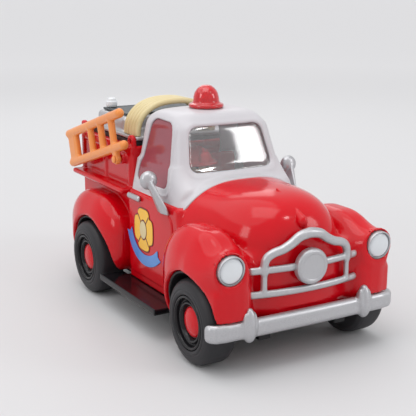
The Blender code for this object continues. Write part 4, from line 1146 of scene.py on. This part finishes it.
def hoseField(p):
    # Strands lie side by side and are cut flat where they stand on the deck
    h = hose
    x = np.abs(p[:, 0] - h["middleX"])
    z = np.maximum(p[:, 2] - h["foot"], 0)
    power = h["power"]
    u = x / h["half"]
    v = z / h["rise"]
    k = np.maximum((u ** power + v ** power) ** (1 / power), 1e-6)
    gu = u ** (power - 1) * k ** (1 - power) / h["half"]
    gv = v ** (power - 1) * k ** (1 - power) / h["rise"]
    arc = (k - 1) / np.maximum(np.sqrt(gu ** 2 + gv ** 2), 1e-4)
    made = None
    for strand in range(h["count"]):
        y = h["firstY"] + strand * h["pitch"]
        ring = np.sqrt(arc ** 2 + (p[:, 1] - y) ** 2) - h["radius"]
        made = ring if made is None else join(made, ring)
    return meet(made, h["foot"] - p[:, 2], 0.4)


addWrapped("hoseBundle", hoseField, (-46, 37, 133.2), (32, 66, 165.5), 0.62, "cream", "lid",
           ("hose_coil",))

deck = {
    "half": 44.6, "front": 37.3, "rear": 129.5, "low": 131.0, "top": 134.0,
    "humpHalf": 40, "humpFront": 68, "humpRear": 124, "humpTop": 146,
    "hingeY": 135.8, "hingeZ": 131.1, "hingeHalf": 45.1, "barrel": 3.8, "pinHole": 1.8, "wall": 3,
}


def lidField(p):
    d = deck
    p = mirror(p)
    x, y, z = p.T
    lid = block(p, (-90, d["front"], d["low"]), (d["half"], d["rear"], d["top"]), 1.2)
    lip = block(p, (-90, d["front"] + 1, d["low"]),
                (d["half"] - 0.1, d["front"] + 3, d["top"] + 0.3), 1)
    lid = join(lid, lip, 0.5)
    hump = block(p, (-90, d["humpFront"], d["top"] - 3),
                 (d["humpHalf"], d["humpRear"], d["humpTop"]), 4)
    lid = join(lid, hump, 3)
    tongue = block(p, (-90, d["rear"] - 3, d["low"]), (d["hingeHalf"], d["hingeY"], d["top"]), 0.8)
    lid = join(lid, tongue, 1)
    fromPin = np.hypot(y - d["hingeY"], z - d["hingeZ"])
    lid = join(lid, meet(fromPin - d["barrel"], x - d["hingeHalf"], 0.6), 0.8)
    lid = carve(lid, fromPin - d["pinHole"], 0.3)
    wall = d["wall"]
    hollow = block(p, (-90, d["humpFront"] + wall, 100),
                   (d["humpHalf"] - wall, d["humpRear"] - wall, d["humpTop"] - wall), 2)
    return carve(lid, hollow, 0.5)


addWrapped("deckLid", lidField, (-46, 36, 126.5), (46, 140.5, 147.5), 1.15, "silver", "lid",
           ("bed_lid",), halves=True)


tread = {"half": 36, "front": 72, "rear": 120, "low": 146.3, "top": 148.2, "margin": 3.5,
         "ribPitch": 6, "ribHigh": 0.5, "ribFlat": 0.4, "sunk": 0.3}


def treadField(p):
    t = tread
    p = mirror(p)
    plate = block(p, (-90, t["front"], t["low"]), (t["half"], t["rear"], t["top"]), 0.8)
    wave = np.cos(p[:, 1] * 2 * math.pi / t["ribPitch"])
    ribs = t["ribHigh"] * np.clip(wave, -t["ribFlat"], t["ribFlat"])
    middleY = (t["front"] + t["rear"]) / 2
    inside = (p[:, 0] < t["half"] - t["margin"]) * (p[:, 2] > 147)
    inside = inside * (np.abs(p[:, 1] - middleY) < 21)
    return plate - (ribs - t["sunk"]) * inside


addWrapped("deckTread", treadField, (-37, 71, 145.5), (37, 121, 149.2), 0.8, "dark", "lid",
           ("deck_tread",), halves=True)
knob = [(0, 8.0), (2.4, 7.8), (3.6, 7.0), (4.0, 5.2), (4.9, 4.6), (5.0, 1.6), (4.4, 0.4), (4.2, 0),
        (0, 0)]
addTurned("hoseNozzle", knob, (-30, 115, 148.6), (0, 0, 1), "lens", "lid", ("hose_nozzle",),
          0.8, 64)
print("ladder, hose and deck ready")


# Driver and seat
driver = {
    # Rounds are middle, half size and roundness. Bars are start, end and one or two radii
    "x": -10, "head": (-10, 4, 114.5),
    "torso": ((0, 6, 81), (14.5, 9.8, 19.8), 0.75), "neck": ((0, 4, 97), (0, 4, 101), 8, 6.4),
    "upperArm": ((13.4, 4, 93), (16.6, -7, 88.6), 4.0, 3.6),
    "foreArm": ((16.6, -7, 88.6), (12.8, -16.5, 92.4), 3.6, 3.4),
    "cuffY": -15.2, "cuffWide": 0.8, "cuffHigh": 0.5,
    "hand": ((12.2, -20.2, 93.6), (3.5, 4.2, 3.7), 0.95),
    "thumb": ((9.6, -20.8, 96.2), (10.2, -23.4, 96.0), 1.3),
    "skull": ((0, 0, 0), (12.2, 12.0, 13.0), 0.97), "nose": ((0, -11.6, -1.6), (1.9, 2.0, 2.2), 1.0),
    "ear": ((12.0, 0.8, -1.2), (1.8, 2.6, 3.4), 1.0),
    "brow": ((2.6, -10.8, 3.6), (6.4, -9.8, 3.4), 0.8),
    "smile": ((0, -11.0, -6.2), (3.2, -10.4, -5.6), 0.55), "throat": (6.2, -11.6, 2.2),
    "eye": ((4.3, -10.9, 0.8), (1.35, 1.2, 1.8), 1.0),
}
helmet = {
    "crown": ((0, 0.3, 1.2), (14.2, 14.6, 14.0), 0.98),
    "inside": ((0, 0.3, 1.0), (12.9, 13.1, 12.8), 0.98),
    "comb": ((0, 0, 7), (1.5, 14.4, 9.6), 0.6), "shield": ((0, -13.4, 7.8), (4.0, 2.4, 4.4), 0.7),
    "shieldBack": -12.4, "brimRadius": 17.6, "brimBack": 1.2, "brimHigh": 2.6, "brimDroop": 0.02,
    "brimHalf": 1.0, "foot": 1.6,
}


def driverBody(p):
    d = driver
    q = np.stack([np.abs(p[:, 0] - d["x"]), p[:, 1], p[:, 2]], 1)
    torso = join(pebble(q, *d["torso"]), bar(q, *d["neck"]), 4)
    sleeve = join(bar(q, *d["upperArm"]), bar(q, *d["foreArm"]), 1.5)
    cuff = np.exp(-((q[:, 1] - d["cuffY"]) / d["cuffWide"]) ** 2)
    return join(torso, sleeve - d["cuffHigh"] * cuff, 2.5)


def driverHands(p):
    q = np.stack([np.abs(p[:, 0] - driver["x"]), p[:, 1], p[:, 2]], 1)
    return join(pebble(q, *driver["hand"]), bar(q, *driver["thumb"]), 1.2)


def onHead(p):
    # Places measured from the middle of the head, with both sides alike
    x, y, z = (p - driver["head"]).T
    return np.stack([np.abs(x), y, z], 1)


def driverHead(p):
    d = driver
    q = onHead(p)
    head = join(pebble(q, *d["skull"]), pebble(q, *d["nose"]), 1.4)
    head = join(head, pebble(q, *d["ear"]), 1.0)
    head = join(head, bar(q, *d["brow"]), 1.6)
    head = carve(head, bar(q, *d["smile"]), 0.5)
    radius, high, half = d["throat"]
    throat = meet(np.hypot(q[:, 0], q[:, 1]) - radius, np.abs(q[:, 2] - high) - half, 0.6)
    return join(head, throat, 2)


def driverEyes(p):
    return pebble(onHead(p), *driver["eye"])


def driverHelmet(p):
    h = helmet
    q = onHead(p)
    x, y, z = q.T
    droop = h["brimDroop"] * y * y * (y > 0)
    brim = meet(np.hypot(x, (y - h["brimBack"]) * 0.9) - h["brimRadius"],
                np.abs(z - h["brimHigh"] + droop) - h["brimHalf"], 0.8)
    shield = meet(pebble(q, *h["shield"]), y - h["shieldBack"])
    shell = join(pebble(q, *h["crown"]), brim, 2.5)
    shell = join(join(shell, pebble(q, *h["comb"]), 1.4), shield, 0.6)
    shell = meet(shell, h["foot"] - z, 0.6)
    return carve(shell, pebble(q, *h["inside"]), 0.4)


addWrapped("driverCoat", driverBody, (-32, -21, 61), (12, 17, 105), 0.9, "red",
           stands=("driver_body",))
addWrapped("driverHands", driverHands, (-27, -26, 89), (7, -15, 98.5), 0.6, "skin")
addWrapped("driverFace", driverHead, (-25, -10.5, 100), (5, 18, 129), 0.7, "skin",
           stands=("driver_head",))
addWrapped("driverEyes", driverEyes, (-17, -9, 112), (-3, -4, 118.5), 0.45, "liner")
addWrapped("driverHelmet", driverHelmet, (-29, -16, 114), (9, 24, 131.5), 0.7, "red",
           stands=("driver_helmet",))


bench = {
    # Each block is its half width, front, rear, foot and top
    "seat": (40, -2, 23, 52, 62), "back": (40, 24.6, 31, 56, 118), "base": (38, 1, 27, 24.2, 56),
    "lean": 0.07, "seams": (0, 13, 26), "seamWide": 0.9, "seamDeep": 0.8,
}


def benchField(p):
    b = bench
    p = mirror(p)
    x, y, z = p.T
    leaning = np.stack([x, y + b["lean"] * (b["back"][4] - z), z], 1)
    parts = []
    for spots, size, soft in ((p, b["seat"], 3), (leaning, b["back"], 3), (p, b["base"], 2)):
        half, front, rear, low, top = size
        parts.append(block(spots, (-90, front, low), (half, rear, top), soft))
    made = join(join(parts[0], parts[1], 2), parts[2], 1)
    for at in b["seams"]:
        made = made + b["seamDeep"] * np.exp(-((x - at) / b["seamWide"]) ** 2) * (z > 56)
    return made


addWrapped("seatBench", benchField, (-41, -3.5, 23), (41, 32.5, 119.5), 1.2, "red",
           stands=("seat_bench",), halves=True)
print("driver and seat ready")


# Door badges: a blank shield over a plain ribbon
badge = {
    "middle": (4.5, 68), "half": (16.6, 17.4), "thick": 0.35, "plane": 54.85, "hub": (5.4, 7.0),
    "notchDeep": 0.16, "notchWide": 0.16, "flat": 0.052, "ring": (5.9, 8.2),
    "spokes": (0.82, 2.32, 3.96, 5.46), "spokeNear": (5.0, 6.25), "spokeFar": (13.2, 15.84),
    "spokeHalf": 0.45,
    "ribbonTop": [(25.2, 66.0), (20.8, 57.4), (13.8, 51.4), (5.6, 48.8), (-2.8, 49.2), (-11.0, 51.8),
                  (-18.6, 56.8)],
    "ribbonWide": 8.8, "ribbonNotch": 2.2,
}


def plaque(name, corners, lift, thick, finish, sign):
    # A thin tile with a softened edge that lies on the door
    count = len(corners)
    middleY = sum(c[0] for c in corners) / count
    middleZ = sum(c[1] for c in corners) / count
    rings = ((1.0, 0.0), (1.0, thick * 0.7), (0.985, thick))
    points = [(sign * (badge["plane"] + lift + high), middleY + (y - middleY) * grow,
               middleZ + (z - middleZ) * grow) for grow, high in rings for y, z in corners]
    faces = [list(range(count)), list(range(2 * count, 3 * count))[::-1]]
    for ring in range(2):
        for i in range(count):
            j = (i + 1) % count
            faces.append([ring * count + i, (ring + 1) * count + i, (ring + 1) * count + j,
                          ring * count + j])
    if sign > 0:
        faces = [face[::-1] for face in faces]
    piece = makePiece(name, points, faces, finish)
    piece.data.polygons.foreach_set("use_smooth", [False] * len(faces))


def shieldLine(grow=1.0, steps=160):
    # Four broad lobes with shallow notches between them
    y0, z0 = badge["middle"]
    line = []
    for i in range(steps):
        a = 2 * math.pi * i / steps
        flare = 1 - badge["flat"] * abs(math.cos(2 * a)) ** 6
        turn = (a + math.pi / 4) % (math.pi / 2)
        for away in (turn, turn - math.pi / 2):
            flare -= badge["notchDeep"] * math.exp(-(away / badge["notchWide"]) ** 2)
        line.append((y0 + badge["half"][0] * grow * flare * math.cos(a),
                     z0 + badge["half"][1] * grow * flare * math.sin(a)))
    return line


def oval(half, steps=72):
    y0, z0 = badge["middle"]
    return [(y0 + half[0] * math.cos(2 * math.pi * i / steps),
             z0 + half[1] * math.sin(2 * math.pi * i / steps)) for i in range(steps)]


def spoke(angle):
    y0, z0 = badge["middle"]
    c, s, half = math.cos(angle), math.sin(angle), badge["spokeHalf"]
    near, far = badge["spokeNear"], badge["spokeFar"]
    return [(y0 + c * reach[0] + s * edge, z0 + s * reach[1] - c * edge)
            for reach, edge in ((near, half), (far, half), (far, -half), (near, -half))]


def ribbonLine():
    upper = smoothLine([(y, z, 0) for y, z in badge["ribbonTop"]], 8)
    lower = []
    for i, spot in enumerate(upper):
        ahead = upper[min(i + 1, len(upper) - 1)] - upper[max(i - 1, 0)]
        out = Vector((ahead.y, -ahead.x, 0)).normalized()
        lower.append(spot - out * badge["ribbonWide"])
    first, last = (upper[0] + lower[0]) / 2, (upper[-1] + lower[-1]) / 2
    notchA = first + (upper[1] - upper[0]).normalized() * badge["ribbonNotch"]
    notchB = last + (upper[-2] - upper[-1]).normalized() * badge["ribbonNotch"]
    loop = upper + [notchB] + lower[::-1] + [notchA]
    return [(v.x, v.y) for v in loop]


for side, sign in bothSides:
    plaque(f"badgeEdge_{side}", shieldLine(1.045), 0.0, badge["thick"], "brown", sign)
    plaque(f"badgeShield_{side}", shieldLine(0.985), 0.25, badge["thick"], "yellow", sign)
    for number, angle in enumerate(badge["spokes"]):
        plaque(f"badgeLine_{side}_{number}", spoke(angle), 0.5, 0.25, "brown", sign)
    plaque(f"badgeRing_{side}", oval(badge["ring"]), 0.5, 0.25, "brown", sign)
    plaque(f"badgeHub_{side}", oval(badge["hub"]), 0.7, 0.25, "cream", sign)
    plaque(f"ribbon_{side}", ribbonLine(), 0.25, badge["thick"], "blue", sign)
print("badges ready")

# CAD pieces that show as they are. Screws and axles are bare steel
cadFinish = {
    "chassis": "black", "axle_cover_front": "liner", "axle_cover_rear": "liner",
    "hopper_tub": "liner", "dashboard": "liner", "steering_wheel": "liner",
    "lid_hinge_pin": "silver",
}
for name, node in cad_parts.items():
    if node.hide_render:
        continue
    node.data.materials.clear()
    node.data.materials.append(finishes[cadFinish.get(name, "steel")])
